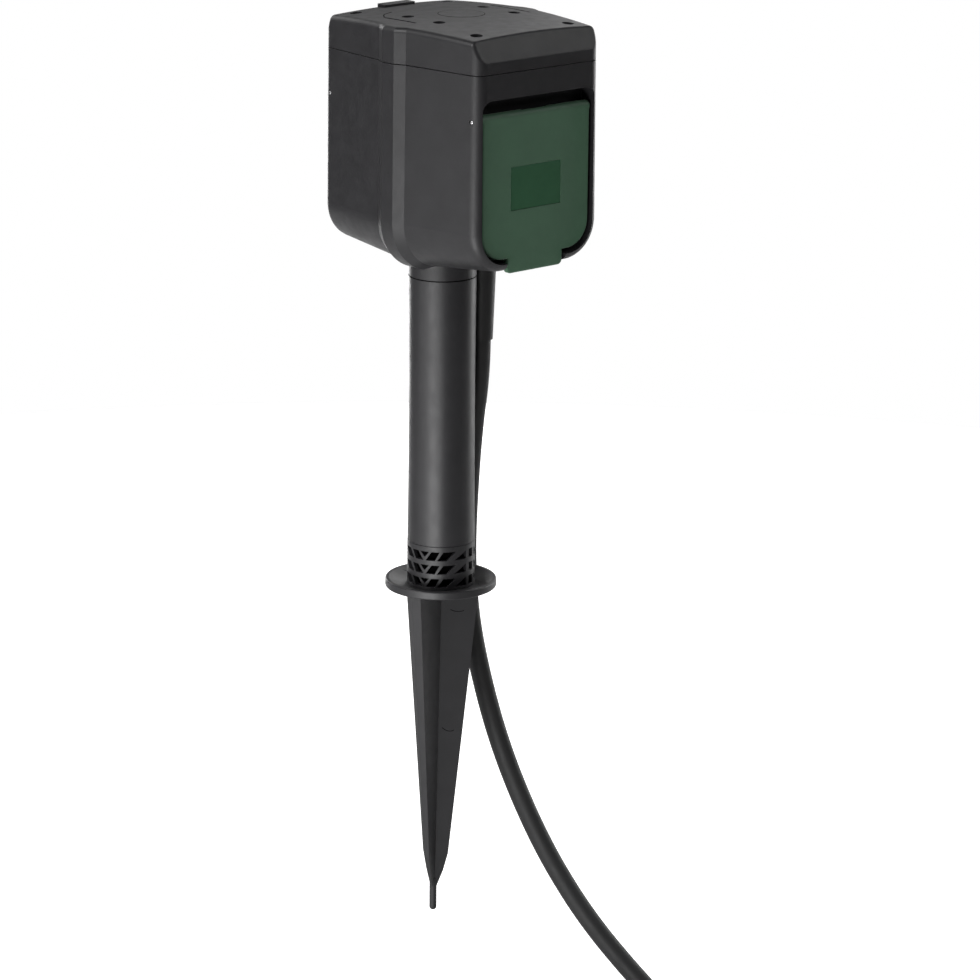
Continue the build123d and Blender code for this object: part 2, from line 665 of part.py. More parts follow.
def spring_form(side):
    """A closing spring: a sleeve round the pin with one leg on the lid and one on the bulkhead."""
    leg_reach = SPRING_HALF_LENGTH - LEG_THICKNESS
    leg_foot = PIN_HEIGHT - LEG_DROP
    bridge_top = PIN_HEIGHT - SPRING_RADIUS + LEG_THICKNESS
    lid_leg_y = side * (HALF_DEPTH - PIN_DEPTH - LEG_NEAR)
    fixed_leg_y = side * (HALF_DEPTH - BULKHEAD_FRONT + LEG_THICKNESS / 2)
    bridge_reach = BULKHEAD_FRONT - PIN_DEPTH
    bridge_y = side * (HALF_DEPTH - PIN_DEPTH - bridge_reach / 2)
    with BuildPart() as spring:
        add(across(side, PIN_DEPTH, PIN_HEIGHT) * rod(SPRING_RADIUS, 2 * SPRING_HALF_LENGTH))
        leg_size = (LEG_THICKNESS, LEG_THICKNESS)
        add(level_box(*leg_size, leg_foot, PIN_HEIGHT, x=HEAD_X - leg_reach, y=lid_leg_y))
        add(level_box(*leg_size, PLATE_TOP + FIT, bridge_top, x=HEAD_X + leg_reach, y=fixed_leg_y))
        bridge_low = bridge_top - LEG_THICKNESS
        leg_x = HEAD_X + leg_reach
        add(level_box(LEG_THICKNESS, bridge_reach, bridge_low, bridge_top, x=leg_x, y=bridge_y))
        bore = rod(SPRING_BORE, 3 * SPRING_HALF_LENGTH)
        add(across(side, PIN_DEPTH, PIN_HEIGHT) * bore, mode=Mode.SUBTRACT)
    return spring.part


def insert_form(side):
    """A socket insert: plate, well with guide ribs, pin holes, and a boss round each contact sleeve."""
    with BuildPart() as insert:
        extrude(pocket_outline(side, PLATE_FRONT, INSERT_INSET), amount=-PLATE_THICKNESS)
        with BuildSketch(at(side, PLATE_FRONT - 1)):
            with Locations((0, POCKET_TOP)):
                Rectangle(3 * POCKET_HALF_WIDTH, 2 * (POCKET_TOP - PLATE_TOP))
        extrude(amount=-PLATE_THICKNESS - 2, mode=Mode.SUBTRACT)
        with BuildSketch(at(side, PLATE_FRONT)):
            with Locations((0, WELL_HEIGHT)):
                Circle(WELL_RADIUS + CUP_WALL)
        extrude(amount=-WELL_DEPTH - CUP_FLOOR)
        with BuildSketch(at(side, PLATE_FRONT)):
            with Locations((0, WELL_HEIGHT)):
                Circle(WELL_RADIUS + RIM_WIDTH)
        extrude(amount=RIM_HEIGHT)
        with BuildSketch(at(side, PLATE_FRONT - 2 * RIM_HEIGHT)):
            with Locations((0, WELL_HEIGHT)):
                Circle(WELL_RADIUS)
        extrude(amount=-WELL_DEPTH - 2 * RIM_HEIGHT, mode=Mode.SUBTRACT)
        with BuildSketch(at(side, PLATE_FRONT)):
            for rib_side in (-1, 1):
                with Locations((rib_side * (WELL_RADIUS - GUIDE_DEPTH / 2 + 1), WELL_HEIGHT)):
                    Rectangle(GUIDE_DEPTH + 2, GUIDE_WIDTH)
        extrude(amount=-WELL_DEPTH - 1)
        floor_back = PLATE_FRONT + WELL_DEPTH + CUP_FLOOR
        with BuildSketch(at(side, floor_back)):
            for hole_side in (-1, 1):
                with Locations((hole_side * PIN_SPACING / 2, WELL_HEIGHT)):
                    Circle(CONTACT_BOSS_RADIUS)
        extrude(amount=-CONTACT_BOSS_LENGTH)
        with BuildSketch(at(side, floor_back)):
            for hole_side in (-1, 1):
                with Locations((hole_side * PIN_SPACING / 2, WELL_HEIGHT)):
                    Circle(SLEEVE_RADIUS + SCREW_FIT)
        extrude(amount=-CONTACT_BOSS_LENGTH, mode=Mode.SUBTRACT)
        with BuildSketch(at(side, floor_back)):
            for hole_side in (-1, 1):
                with Locations((hole_side * PIN_SPACING / 2, WELL_HEIGHT)):
                    Circle(HOLE_RADIUS)
            for slot_side in (-1, 1):
                with Locations((0, WELL_HEIGHT + slot_side * CLIP_SLOT_REACH)):
                    Rectangle(CLIP_SLOT_LENGTH, CLIP_SLOT_WIDTH)
        extrude(amount=2 * CUP_FLOOR, mode=Mode.SUBTRACT)
        for height in INSERT_SCREW_HEIGHTS:
            for screw_side in (-1, 1):
                with BuildSketch(at(side, PLATE_FRONT)):
                    with Locations((screw_side * INSERT_SCREW_REACH, height)):
                        Circle(INSERT_SCREW_RADIUS + FIT)
                extrude(amount=-PLATE_THICKNESS, mode=Mode.SUBTRACT)
                with BuildSketch(at(side, PLATE_FRONT)):
                    with Locations((screw_side * INSERT_SCREW_REACH, height)):
                        Circle(INSERT_HEAD_RADIUS + FIT)
                extrude(amount=-INSERT_HEAD_HEIGHT, mode=Mode.SUBTRACT)
    return insert.part


def insert_screws_form(side):
    """The four flat-headed screws of a socket insert."""
    with BuildPart() as screws:
        for height in INSERT_SCREW_HEIGHTS:
            for screw_side in (-1, 1):
                spot = (screw_side * INSERT_SCREW_REACH, height)
                with BuildSketch(at(side, PLATE_FRONT + INSERT_HEAD_HEIGHT)):
                    with Locations(spot):
                        Circle(INSERT_HEAD_RADIUS)
                extrude(amount=INSERT_HEAD_HEIGHT)
                with BuildSketch(at(side, PLATE_FRONT + INSERT_HEAD_HEIGHT)):
                    with Locations(spot):
                        Circle(INSERT_SCREW_RADIUS)
                extrude(amount=-INSERT_BOSS_LENGTH + INSERT_HEAD_HEIGHT)
                with BuildSketch(at(side, PLATE_FRONT)):
                    with Locations(spot):
                        Rectangle(2 * INSERT_SCREW_RADIUS, CROSS_WIDTH)
                        Rectangle(CROSS_WIDTH, 2 * INSERT_SCREW_RADIUS)
                extrude(amount=-INSERT_HEAD_HEIGHT / 2, mode=Mode.SUBTRACT)
    return screws.part


def clip_form(side):
    """The earth contact: one bent strip, an arm at the top and one at the bottom of the well."""
    face = side * HALF_DEPTH
    mouth = face - side * (PLATE_FRONT + CLIP_TIP)
    bow = face - side * (PLATE_FRONT + CLIP_BOW_DEPTH)
    back = face - side * (PLATE_FRONT + WELL_DEPTH + CUP_FLOOR + CLIP_THICKNESS)
    with BuildPart() as clip:
        with BuildSketch(Plane.YZ.offset(HEAD_X)):
            with BuildLine() as strip:
                FilletPolyline(
                    (mouth, WELL_HEIGHT + CLIP_REACH),
                    (bow, WELL_HEIGHT + CLIP_BOW),
                    (back, WELL_HEIGHT + CLIP_REACH),
                    (back, WELL_HEIGHT - CLIP_REACH),
                    (bow, WELL_HEIGHT - CLIP_BOW),
                    (mouth, WELL_HEIGHT - CLIP_REACH),
                    radius=CLIP_THICKNESS,
                )
            trace(line_width=CLIP_THICKNESS)
        extrude(amount=CLIP_WIDTH / 2, both=True)
    return clip.part


def sleeves_form(side):
    """The two contact sleeves of a socket."""
    with BuildPart() as sleeves:
        start = PLATE_FRONT + WELL_DEPTH + CUP_FLOOR + FIT
        with BuildSketch(at(side, start)):
            for sleeve_side in (-1, 1):
                with Locations((sleeve_side * PIN_SPACING / 2, WELL_HEIGHT)):
                    Circle(SLEEVE_RADIUS)
                    Circle(SLEEVE_BORE, mode=Mode.SUBTRACT)
        extrude(amount=-(HALF_DEPTH - start - BAR_HALF_LENGTH))
    return sleeves.part


for name, side in SIDES.items():
    finish(lid_form(side), f"{name}_lid")
    finish(seal_form(side), f"{name}_lid_seal")
    finish(pin_form(side), f"{name}_hinge_pin")
    finish(spring_form(side), f"{name}_lid_spring")
    finish(insert_form(side), f"{name}_socket")
    finish(insert_screws_form(side), f"{name}_socket_screws")
    finish(clip_form(side), f"{name}_earth_clip")
    finish(sleeves_form(side), f"{name}_contacts")


def bar_form(x, entry):
    """A square bar along Y at x, with a terminal block; the wire's hole opens towards `entry`."""
    with BuildPart() as bar:
        bar_foot = WELL_HEIGHT - BAR_SIZE / 2
        add(level_box(BAR_SIZE, 2 * BAR_HALF_LENGTH, bar_foot, bar_foot + BAR_SIZE, x=x))
        add(level_box(TERMINAL_WIDTH, TERMINAL_LENGTH, TERMINAL_BOTTOM, WELL_HEIGHT, x=x))
        add(entry * rod(WIRE_RADIUS + FIT, TERMINAL_LENGTH), mode=Mode.SUBTRACT)
        screw_hole = rod(TERMINAL_SCREW_RADIUS + SCREW_FIT, 2 * TERMINAL_LENGTH)
        add(Pos(x, 0, WELL_HEIGHT + TERMINAL_LENGTH) * screw_hole, mode=Mode.SUBTRACT)
    return bar.part


LIVE_X = HEAD_X - PIN_SPACING / 2
NEUTRAL_X = HEAD_X + PIN_SPACING / 2
WIRE_LEVEL = 196.2
WIRE_DEPTH = 3.0  # bare end inside a terminal

# Bars that join the two sockets' contacts, each with a block that takes a wire
with BuildPart() as live_bar:
    add(bar_form(LIVE_X, Pos(LIVE_X, -TERMINAL_LENGTH / 2, WIRE_LEVEL) * Rot(90, 0, 0)))
finish(live_bar.part, "live_bar")

with BuildPart() as neutral_bar:
    add(bar_form(NEUTRAL_X, Pos(NEUTRAL_X, 0, TERMINAL_BOTTOM)))
finish(neutral_bar.part, "neutral_bar")

# Bar that joins the two earth clips, between the contact bars
CLIP_BACK = HALF_DEPTH - PLATE_FRONT - WELL_DEPTH - CUP_FLOOR - 3 * CLIP_THICKNESS / 2
EARTH_WIRE_LEVEL = EARTH_BAR_HEIGHT - EARTH_TERMINAL_HEIGHT / 2
with BuildPart() as earth_bar:
    strip_top = EARTH_BAR_HEIGHT + CLIP_THICKNESS
    add(level_box(CLIP_WIDTH, 2 * CLIP_BACK, EARTH_BAR_HEIGHT, strip_top, x=HEAD_X))
    block_foot = EARTH_BAR_HEIGHT - EARTH_TERMINAL_HEIGHT
    add(level_box(EARTH_TERMINAL_WIDTH, TERMINAL_LENGTH, block_foot, EARTH_BAR_HEIGHT, x=HEAD_X))
    entry = Pos(HEAD_X, TERMINAL_LENGTH / 2, EARTH_WIRE_LEVEL) * Rot(90, 0, 0)
    add(entry * rod(WIRE_RADIUS + FIT, TERMINAL_LENGTH), mode=Mode.SUBTRACT)
finish(earth_bar.part, "earth_bar")

# Screws that grip the wires in the two contact bars
with BuildPart() as terminal_screws:
    for x in (LIVE_X, NEUTRAL_X):
        shank_foot = WELL_HEIGHT + 1
        head_foot = WELL_HEIGHT + BAR_SIZE / 2
        add(level_rod(TERMINAL_SCREW_RADIUS, shank_foot, head_foot + 1, x=x))
        add(level_rod(2 * TERMINAL_SCREW_RADIUS, head_foot, head_foot + SCREW_HEAD_HEIGHT, x=x))
        slot = level_box(5 * TERMINAL_SCREW_RADIUS, CROSS_WIDTH, head_foot + 1, head_foot + 3, x=x)
        add(slot, mode=Mode.SUBTRACT)
finish(terminal_screws.part, "terminal_screws")


def tube_form(points, radii, radius):
    """A round tube along straight runs joined by tangent arcs."""
    with BuildPart() as tube:
        with BuildLine() as route:
            FilletPolyline(*points, radius=radii)
        with BuildSketch(Plane(origin=route.wire() @ 0, z_dir=route.wire() % 0)):
            Circle(radius)
        sweep()
    return tube.part


# The lead's end inside the housing: its sheath, then its three wires from the sheath to their terminals
with BuildPart() as lead_tail:
    add(level_rod(SHEATH_RADIUS, GLAND_OUTLET, TAIL_TOP, x=GLAND_X))
finish(lead_tail.part, "lead_tail")

LIVE_ROUTE = (
    (22.8, -2.1, TAIL_TOP),
    (22.8, -2.1, 189.3),
    (15.6, -10.5, 189.3),
    (LIVE_X, -11.0, 189.3),
    (LIVE_X, -11.0, WIRE_LEVEL),
    (LIVE_X, -TERMINAL_LENGTH / 2 + WIRE_DEPTH, WIRE_LEVEL),
)
NEUTRAL_ROUTE = (
    (23.2, 2.2, TAIL_TOP),
    (23.2, 2.2, 188.4),
    (NEUTRAL_X, 0.0, 191.4),
    (NEUTRAL_X, 0.0, TERMINAL_BOTTOM + WIRE_DEPTH),
)
EARTH_ROUTE = (
    (27.2, 0.0, TAIL_TOP),
    (27.2, 0.0, 190.5),
    (21.6, 9.0, 190.5),
    (HEAD_X, 11.0, EARTH_WIRE_LEVEL),
    (HEAD_X, TERMINAL_LENGTH / 2 - WIRE_DEPTH, EARTH_WIRE_LEVEL),
)
finish(tube_form(LIVE_ROUTE, WIRE_BEND, WIRE_RADIUS), "live_wire")
finish(tube_form(NEUTRAL_ROUTE, SHORT_WIRE_BEND, WIRE_RADIUS), "neutral_wire")
finish(tube_form(EARTH_ROUTE, WIRE_BEND, WIRE_RADIUS), "earth_wire")

# Bar that presses the sheath against the saddle, and its two screws
with BuildPart() as cord_clamp:
    clamp_y = -SHEATH_RADIUS - SCREW_FIT - WALL / 2
    low = CLAMP_MIDDLE - CLAMP_HEIGHT / 2
    add(level_box(CLAMP_LENGTH, WALL, low, low + CLAMP_HEIGHT, x=GLAND_X, y=clamp_y))
    for clamp_side in (-1, 1):
        hole_place = Pos(GLAND_X + clamp_side * CLAMP_SCREW_REACH, clamp_y, CLAMP_MIDDLE) * Rot(90, 0, 0)
        add(hole_place * rod(SCREW_RADIUS + FIT, 2 * WALL), mode=Mode.SUBTRACT)
finish(cord_clamp.part, "cord_clamp")

with BuildPart() as clamp_screws:
    clamp_face = -SHEATH_RADIUS - SCREW_FIT - WALL
    for clamp_side in (-1, 1):
        seat = Pos(GLAND_X + clamp_side * CLAMP_SCREW_REACH, clamp_face, CLAMP_MIDDLE) * Rot(90, 0, 0)
        add(pan_screw(seat, 2 * SHEATH_RADIUS + WALL + SADDLE_THICKNESS - 1))
finish(clamp_screws.part, "clamp_screws")

# Grommet: a neck through the housing's boss, a flange on each side and a tapered relief round the lead
with BuildPart() as cable_gland:
    flange_foot = HEAD_BOTTOM + WALL + GLAND_FLANGE_LIFT
    flange_top = flange_foot + GLAND_FLANGE_THICKNESS
    relief_top = GLAND_SEAT - GLAND_SHOULDER_LENGTH
    neck_top = HEAD_BOTTOM + WALL + GLAND_NECK_REACH
    add(level_rod(GLAND_BORE - SCREW_FIT, GLAND_SEAT - 1, neck_top, x=GLAND_X))
    add(level_rod(GLAND_FLANGE_RADIUS, flange_foot, flange_top, x=GLAND_X))
    with BuildSketch(Plane.XZ):
        with BuildLine():
            Polyline(
                (GLAND_X, GLAND_OUTLET),
                (GLAND_X + RELIEF_TIP_RADIUS, GLAND_OUTLET),
                (GLAND_X + RELIEF_ROOT_RADIUS, relief_top),
                (GLAND_X + GLAND_SHOULDER_RADIUS, relief_top),
                (GLAND_X + GLAND_SHOULDER_RADIUS, GLAND_SEAT - SCREW_FIT),
                (GLAND_X, GLAND_SEAT - SCREW_FIT),
                close=True,
            )
        make_face()
    revolve(axis=Axis((GLAND_X, 0, 0), (0, 0, 1)))
    add(level_rod(LEAD_RADIUS, GLAND_OUTLET - 1, flange_top + 1, x=GLAND_X), mode=Mode.SUBTRACT)
finish(cable_gland.part, "cable_gland")

# Post: a round tube, slightly waisted, between the collar and the lattice ring
with BuildPart() as post_tube:
    with BuildSketch(Plane.XZ):
        with BuildLine():
            Polyline(
                (POST_TOP_RADIUS, POST_TOP),
                (POST_BORE, POST_TOP),
                (POST_BORE, POST_FOOT),
                (POST_FOOT_RADIUS, POST_FOOT),
            )
            ThreePointArc(
                (POST_FOOT_RADIUS, POST_FOOT),
                (POST_WAIST_RADIUS, (POST_TOP + POST_FOOT) / 2),
                (POST_TOP_RADIUS, POST_TOP),
            )
        make_face()
    revolve(axis=Axis.Z)
finish(post_tube.part, "post_tube")


def opening_plane(angle):
    """The plane that touches the ring's outside at an angle, looking outwards."""
    turn = math.radians(angle)
    out = (math.cos(turn), math.sin(turn), 0)
    along = (-math.sin(turn), math.cos(turn), 0)
    return Plane(origin=(RING_RADIUS * out[0], RING_RADIUS * out[1], 0), x_dir=along, z_dir=out)


def opening_cut(corners, mirror_sign):
    """One opening, from corner angles in degrees from the quarter's start and their heights."""
    middle = sum(angle for angle, _ in corners) / len(corners)
    plane = opening_plane(LATTICE_START + mirror_sign * middle)
    points = []
    for angle, level in corners:
        along = RING_RADIUS * math.sin(math.radians(angle - middle))
        points.append((mirror_sign * along, level))
    with BuildPart() as cut:
        with BuildSketch(plane.offset(1)):
            with BuildLine():
                Polyline(*points, close=True)
            make_face()
        extrude(amount=-RING_WALL_CUT)
    return cut.part


# Lattice ring: three rows of openings between slanting bars, mirrored about the middle of each quarter
with BuildPart() as lattice_ring:
    add(level_rod(RING_RADIUS, RING_FOOT, RING_TOP))
    add(level_rod(RING_BORE, RING_FOOT - 1, RING_TOP + 1), mode=Mode.SUBTRACT)
    for low, high in RING_ROWS:
        for top_angles, low_angles in RING_OPENINGS:
            corners = [(angle, high) for angle in top_angles]
            corners += [(angle, low) for angle in low_angles]
            for quarter in (0, HALF_TURN):
                shifted = [(angle + quarter, level) for angle, level in corners]
                mirrored = [(angle - quarter, level) for angle, level in corners]
                add(opening_cut(shifted, 1), mode=Mode.SUBTRACT)
                add(opening_cut(mirrored, -1), mode=Mode.SUBTRACT)
        for quarter in (0, HALF_TURN):
            triangle = [
                (quarter + TRIANGLE_HALF, high),
                (quarter - TRIANGLE_HALF, high),
                (quarter, low + TRIANGLE_LIFT),
            ]
            add(opening_cut(triangle, 1), mode=Mode.SUBTRACT)
finish(lattice_ring.part, "lattice_ring")


def star(level, reach, corner, width):
    """The spike's three-bladed outline at a level."""
    points = []
    for blade in range(BLADES):
        turn = math.radians(90 + SPIKE_TURN + blade * 360 / BLADES)
        out = (math.cos(turn), math.sin(turn))
        along = (-out[1], out[0])
        for edge in (-1, 1):
            aside = edge * width / 2
            points.append((reach * out[0] + aside * along[0], reach * out[1] + aside * along[1]))
        valley = turn + math.pi / BLADES
        points.append((corner * math.cos(valley), corner * math.sin(valley)))
    with BuildSketch(Plane(origin=(SPIKE_X, SPIKE_Y, level))) as outline:
        with BuildLine():
            Polyline(*points, close=True)
        make_face()
    return outline.sketch


# Spike: a dished flange, a spigot up inside the post and three blades that narrow to a round point
with BuildPart() as ground_spike:
    sections = [star(*section) for section in SPIKE_SECTIONS]
    for upper, lower in zip(sections, sections[1:]):
        loft(sections=[upper, lower], ruled=True)
    add(level_rod(ROD_RADIUS, SPIKE_TIP, ROD_TOP, x=SPIKE_X, y=SPIKE_Y))
    fillet(ground_spike.faces().sort_by(Axis.Z)[0].edges(), radius=TIP_ROUNDING)
    with BuildSketch(Plane.XZ):
        with BuildLine():
            Polyline(
                (0, 0),
                (FLANGE_RADIUS, 0),
                (FLANGE_RADIUS, FLANGE_THICKNESS),
                (FLANGE_RADIUS - FLANGE_LAND, FLANGE_THICKNESS),
                (RING_RADIUS, DISH_FLOOR),
                (SPIGOT_RADIUS, DISH_FLOOR),
                (SPIGOT_RADIUS, RING_SEAT),
                (NECK_RADIUS, RING_SEAT),
                (NECK_RADIUS, NECK_TOP),
                (SPIGOT_RADIUS, SHOULDER),
                (SPIGOT_RADIUS, SPIGOT_TOP),
                (SPIGOT_BORE, SPIGOT_TOP),
                (SPIGOT_BORE, SHOULDER),
                (NECK_BORE, NECK_TOP),
                (NECK_BORE, FLANGE_THICKNESS),
                (0, FLANGE_THICKNESS),
                close=True,
            )
        make_face()
    revolve(axis=Axis.Z)
    rim = ground_spike.edges().filter_by(GeomType.CIRCLE).filter_by(
        lambda edge: edge.radius > FLANGE_RADIUS - 1
    )
    fillet(rim, radius=FLANGE_EDGE)
finish(ground_spike.part, "ground_spike")


def bend_radii(points):
    """For each bend, the radius whose arc takes nearly half of the shorter run beside it."""
    radii = []
    for before, here, after in zip(points, points[1:], points[2:]):
        first = Vector(*here) - Vector(*before)
        second = Vector(*after) - Vector(*here)
        half_turn = math.radians(first.get_angle(second)) / 2
        radii.append(RUN_SHARE * min(first.length, second.length) / math.tan(half_turn))
    return radii


def route_length(points, radii):
    """The length of straight runs joined by arcs."""
    total = sum((Vector(*b) - Vector(*a)).length for a, b in zip(points, points[1:]))
    for before, here, after, radius in zip(points, points[1:], points[2:], radii):
        turn = math.radians((Vector(*here) - Vector(*before)).get_angle(Vector(*after) - Vector(*here)))
        total += radius * (turn - 2 * math.tan(turn / 2))
    return total


# The lead, free from the relief down to the coil
lead_radii = bend_radii(LEAD_ROUTE)
cable = tube_form(LEAD_ROUTE, lead_radii, LEAD_RADIUS)
finish(cable, "cable")
lead_length = route_length(LEAD_ROUTE, lead_radii)
print("lead bend radii", [round(radius) for radius in lead_radii])
print("lead length", round(lead_length, 1))
print("lead volume over section times length", cable.volume / (math.pi * LEAD_RADIUS**2 * lead_length))

# The rest of the lead, wound into two layers and tied
lead_end = Vector(*LEAD_ROUTE[-1])
heading = (lead_end - Vector(*LEAD_ROUTE[-2])).normalized()
coil_plane = Plane(origin=lead_end, x_dir=heading, z_dir=(0, 0, 1))


def coil_arcs():
    """The half turns of the coil as start, middle and end points in the coil's own plane."""
    arcs = []
    start = Vector(0, 0, 0)
    side = 1
    for step in COIL_STEPS:
        radius = COIL_RADIUS - step * COIL_STEP
        centre = start + Vector(0, -side * radius, 0)
        rise = COIL_RISE if step == max(COIL_STEPS) else 0
        end = centre + Vector(0, -side * radius, rise)
        across_reach = math.sqrt(radius**2 + (rise / 2) ** 2)
        middle = centre + Vector(side * across_reach, 0, rise / 2)
        arcs.append((start, middle, end))
        start = end
        side = -side
    return arcs


COIL_ARCS = coil_arcs()
coil_finish = COIL_ARCS[-1][2]
plug_start = coil_finish + Vector(COIL_END, 0, 0)

with BuildLine() as coil_line:
    for start, middle, end in COIL_ARCS:
        ThreePointArc(start, middle, end)
    Line(coil_finish, plug_start)

with BuildPart() as wound_lead:
    for piece in coil_line.edges():
        with BuildSketch(Plane(origin=piece @ 0, z_dir=piece % 0)):
            Circle(LEAD_RADIUS)
        sweep(path=piece)
cable_coil = coil_plane.location * wound_lead.part
finish(cable_coil, "cable_coil")


def coil_gap():
    """The least gap between turns of the coil that are not beside each other along the lead."""
    wire = coil_line.wire()
    count = round(wire.length / SAMPLE_STEP)
    points = [wire @ (index / count) for index in range(count + 1)]
    apart = round(2 * COIL_RADIUS / SAMPLE_STEP)
    least = COIL_RADIUS
    for index, point in enumerate(points):
        for other in points[index + apart :]:
            least = min(least, (other - point).length)
    return least - 2 * LEAD_RADIUS


print("least gap between the coil's turns", round(coil_gap(), 2))
print("whole lead", round(lead_length + coil_line.wire().length + TAIL_TOP - GLAND_OUTLET, 0))


def bundle_outline(radius):
    """The hull of the turns that cross the strap's plane, `radius` round each."""
    with BuildSketch(Plane.XZ) as outline:
        for arc in STRAP_ARCS:
            start, middle, end = COIL_ARCS[arc]
            along = STRAP_PLACE - middle.Y
            with Locations((math.sqrt(middle.X**2 - along**2), start.Z)):
                Circle(radius)
        make_hull()
    return outline.sketch


# Strap round the bundle of turns where three of them run side by side
with BuildPart() as strap:
    strap_inside = LEAD_RADIUS + STRAP_ROOM
    extrude(bundle_outline(strap_inside + STRAP_THICKNESS), amount=STRAP_WIDTH / 2, both=True)
    extrude(bundle_outline(strap_inside), amount=STRAP_WIDTH, both=True, mode=Mode.SUBTRACT)
cable_tie = coil_plane.location * Pos(0, STRAP_PLACE, 0) * strap.part
finish(cable_tie, "cable_tie")

# Plug: a tapered relief, a grip with ribs, and a round face with grooves for the socket's guides
PLUG_LENGTH = PLUG_RELIEF_LENGTH + PLUG_GRIP_LENGTH + PLUG_HEAD_LENGTH
plug_place = coil_plane.location * Pos(plug_start) * Rot(0, 90, 0)
with BuildPart() as plug_shape:
    with BuildSketch(Plane.XZ):
        with BuildLine():
            Polyline(
                (PLUG_GRIP_RADIUS, PLUG_RELIEF_LENGTH + PLUG_GRIP_LENGTH / 2),
                (PLUG_GRIP_RADIUS - PLUG_SHOULDER_STEP, PLUG_RELIEF_LENGTH),
                (PLUG_NECK_RADIUS, PLUG_RELIEF_LENGTH),
                (PLUG_RELIEF_TIP_RADIUS, 0),
                (0, 0),
                (0, PLUG_LENGTH),
                (PLUG_FACE_RADIUS, PLUG_LENGTH),
                (PLUG_FACE_RADIUS, PLUG_LENGTH - PLUG_HEAD_LENGTH),
            )
            Spline(
                (PLUG_FACE_RADIUS, PLUG_LENGTH - PLUG_HEAD_LENGTH),
                (PLUG_GRIP_RADIUS, PLUG_RELIEF_LENGTH + PLUG_GRIP_LENGTH / 2),
                tangents=[(0, -1), (0, -1)],
            )
        make_face()
    revolve(axis=Axis.Z)
    for groove in range(PLUG_GROOVES):
        level = PLUG_GROOVE_PITCH * (groove + 1)
        groove_ring = rod(2 * LEAD_RADIUS, PLUG_GROOVE_WIDTH) - rod(PLUG_RELIEF_TIP_RADIUS, 2)
        add(Pos(0, 0, level) * groove_ring, mode=Mode.SUBTRACT)
    for guide_side in (-1, 1):
        groove_place = Pos(0, guide_side * PLUG_FACE_RADIUS, PLUG_LENGTH - PLUG_HEAD_LENGTH / 2)
        guide_groove = block(GUIDE_WIDTH + 1, 2 * GUIDE_DEPTH + 1, PLUG_HEAD_LENGTH + 1)
        add(groove_place * guide_groove, mode=Mode.SUBTRACT)
        strip_place = Pos(guide_side * PLUG_FACE_RADIUS, 0, PLUG_LENGTH - PLUG_HEAD_LENGTH / 2)
        strip_seat = block(2 * CLIP_THICKNESS, CLIP_WIDTH, PLUG_HEAD_LENGTH + 1)
        add(strip_place * strip_seat, mode=Mode.SUBTRACT)
finish(plug_place * plug_shape.part, "plug_body")

with BuildPart() as plug_pin_pair:
    for pin_side in (-1, 1):
        pin_middle = PLUG_LENGTH + PLUG_PIN_LENGTH / 2
        add(Pos(0, pin_side * PIN_SPACING / 2, pin_middle) * rod(PLUG_PIN_RADIUS, PLUG_PIN_LENGTH))
    fillet(plug_pin_pair.edges().group_by(Axis.Z)[-1], radius=PLUG_PIN_ROUNDING)
finish(plug_place * plug_pin_pair.part, "plug_pins")

with BuildPart() as plug_strip_pair:
    for strip_side in (-1, 1):
        strip_x = strip_side * (PLUG_FACE_RADIUS - CLIP_THICKNESS / 2)
        strip_middle = PLUG_LENGTH - PLUG_HEAD_LENGTH / 2
        add(Pos(strip_x, 0, strip_middle) * block(CLIP_THICKNESS, CLIP_WIDTH, PLUG_HEAD_LENGTH))
finish(plug_place * plug_strip_pair.part, "plug_earth_strips")
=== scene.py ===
"""Looks of the garden socket: moulded plastics, bright pins, and the lead as one smooth line."""
import json
import math

import bmesh
import bpy
from mathutils import Matrix, Vector


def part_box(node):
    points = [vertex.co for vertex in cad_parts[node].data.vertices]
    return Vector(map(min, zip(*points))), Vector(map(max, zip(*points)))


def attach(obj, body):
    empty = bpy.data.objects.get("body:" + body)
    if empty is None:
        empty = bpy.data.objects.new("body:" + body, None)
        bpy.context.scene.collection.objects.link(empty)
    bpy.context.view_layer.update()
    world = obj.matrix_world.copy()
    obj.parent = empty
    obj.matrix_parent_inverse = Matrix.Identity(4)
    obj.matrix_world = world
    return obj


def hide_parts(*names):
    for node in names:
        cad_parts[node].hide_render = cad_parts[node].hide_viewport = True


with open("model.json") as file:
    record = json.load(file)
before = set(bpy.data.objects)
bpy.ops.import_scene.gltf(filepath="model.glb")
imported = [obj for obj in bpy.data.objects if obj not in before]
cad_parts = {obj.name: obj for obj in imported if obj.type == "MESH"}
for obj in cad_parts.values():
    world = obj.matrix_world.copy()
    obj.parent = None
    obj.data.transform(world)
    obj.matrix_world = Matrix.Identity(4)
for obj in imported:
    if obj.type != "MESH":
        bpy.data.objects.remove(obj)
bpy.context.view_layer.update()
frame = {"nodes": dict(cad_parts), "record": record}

MM = 0.001

# Camera, as found from the photograph
CAMERA_PLACE = Vector((-1.2300, -1.3910, 0.5707))
CAMERA_AZIMUTH = 42.21
CAMERA_PITCH = 15.73
CAMERA_ROLL = 0.57
LENS = 146.84
SENSOR = 36.0
PICTURE_SIZE = 980  # pixels each way

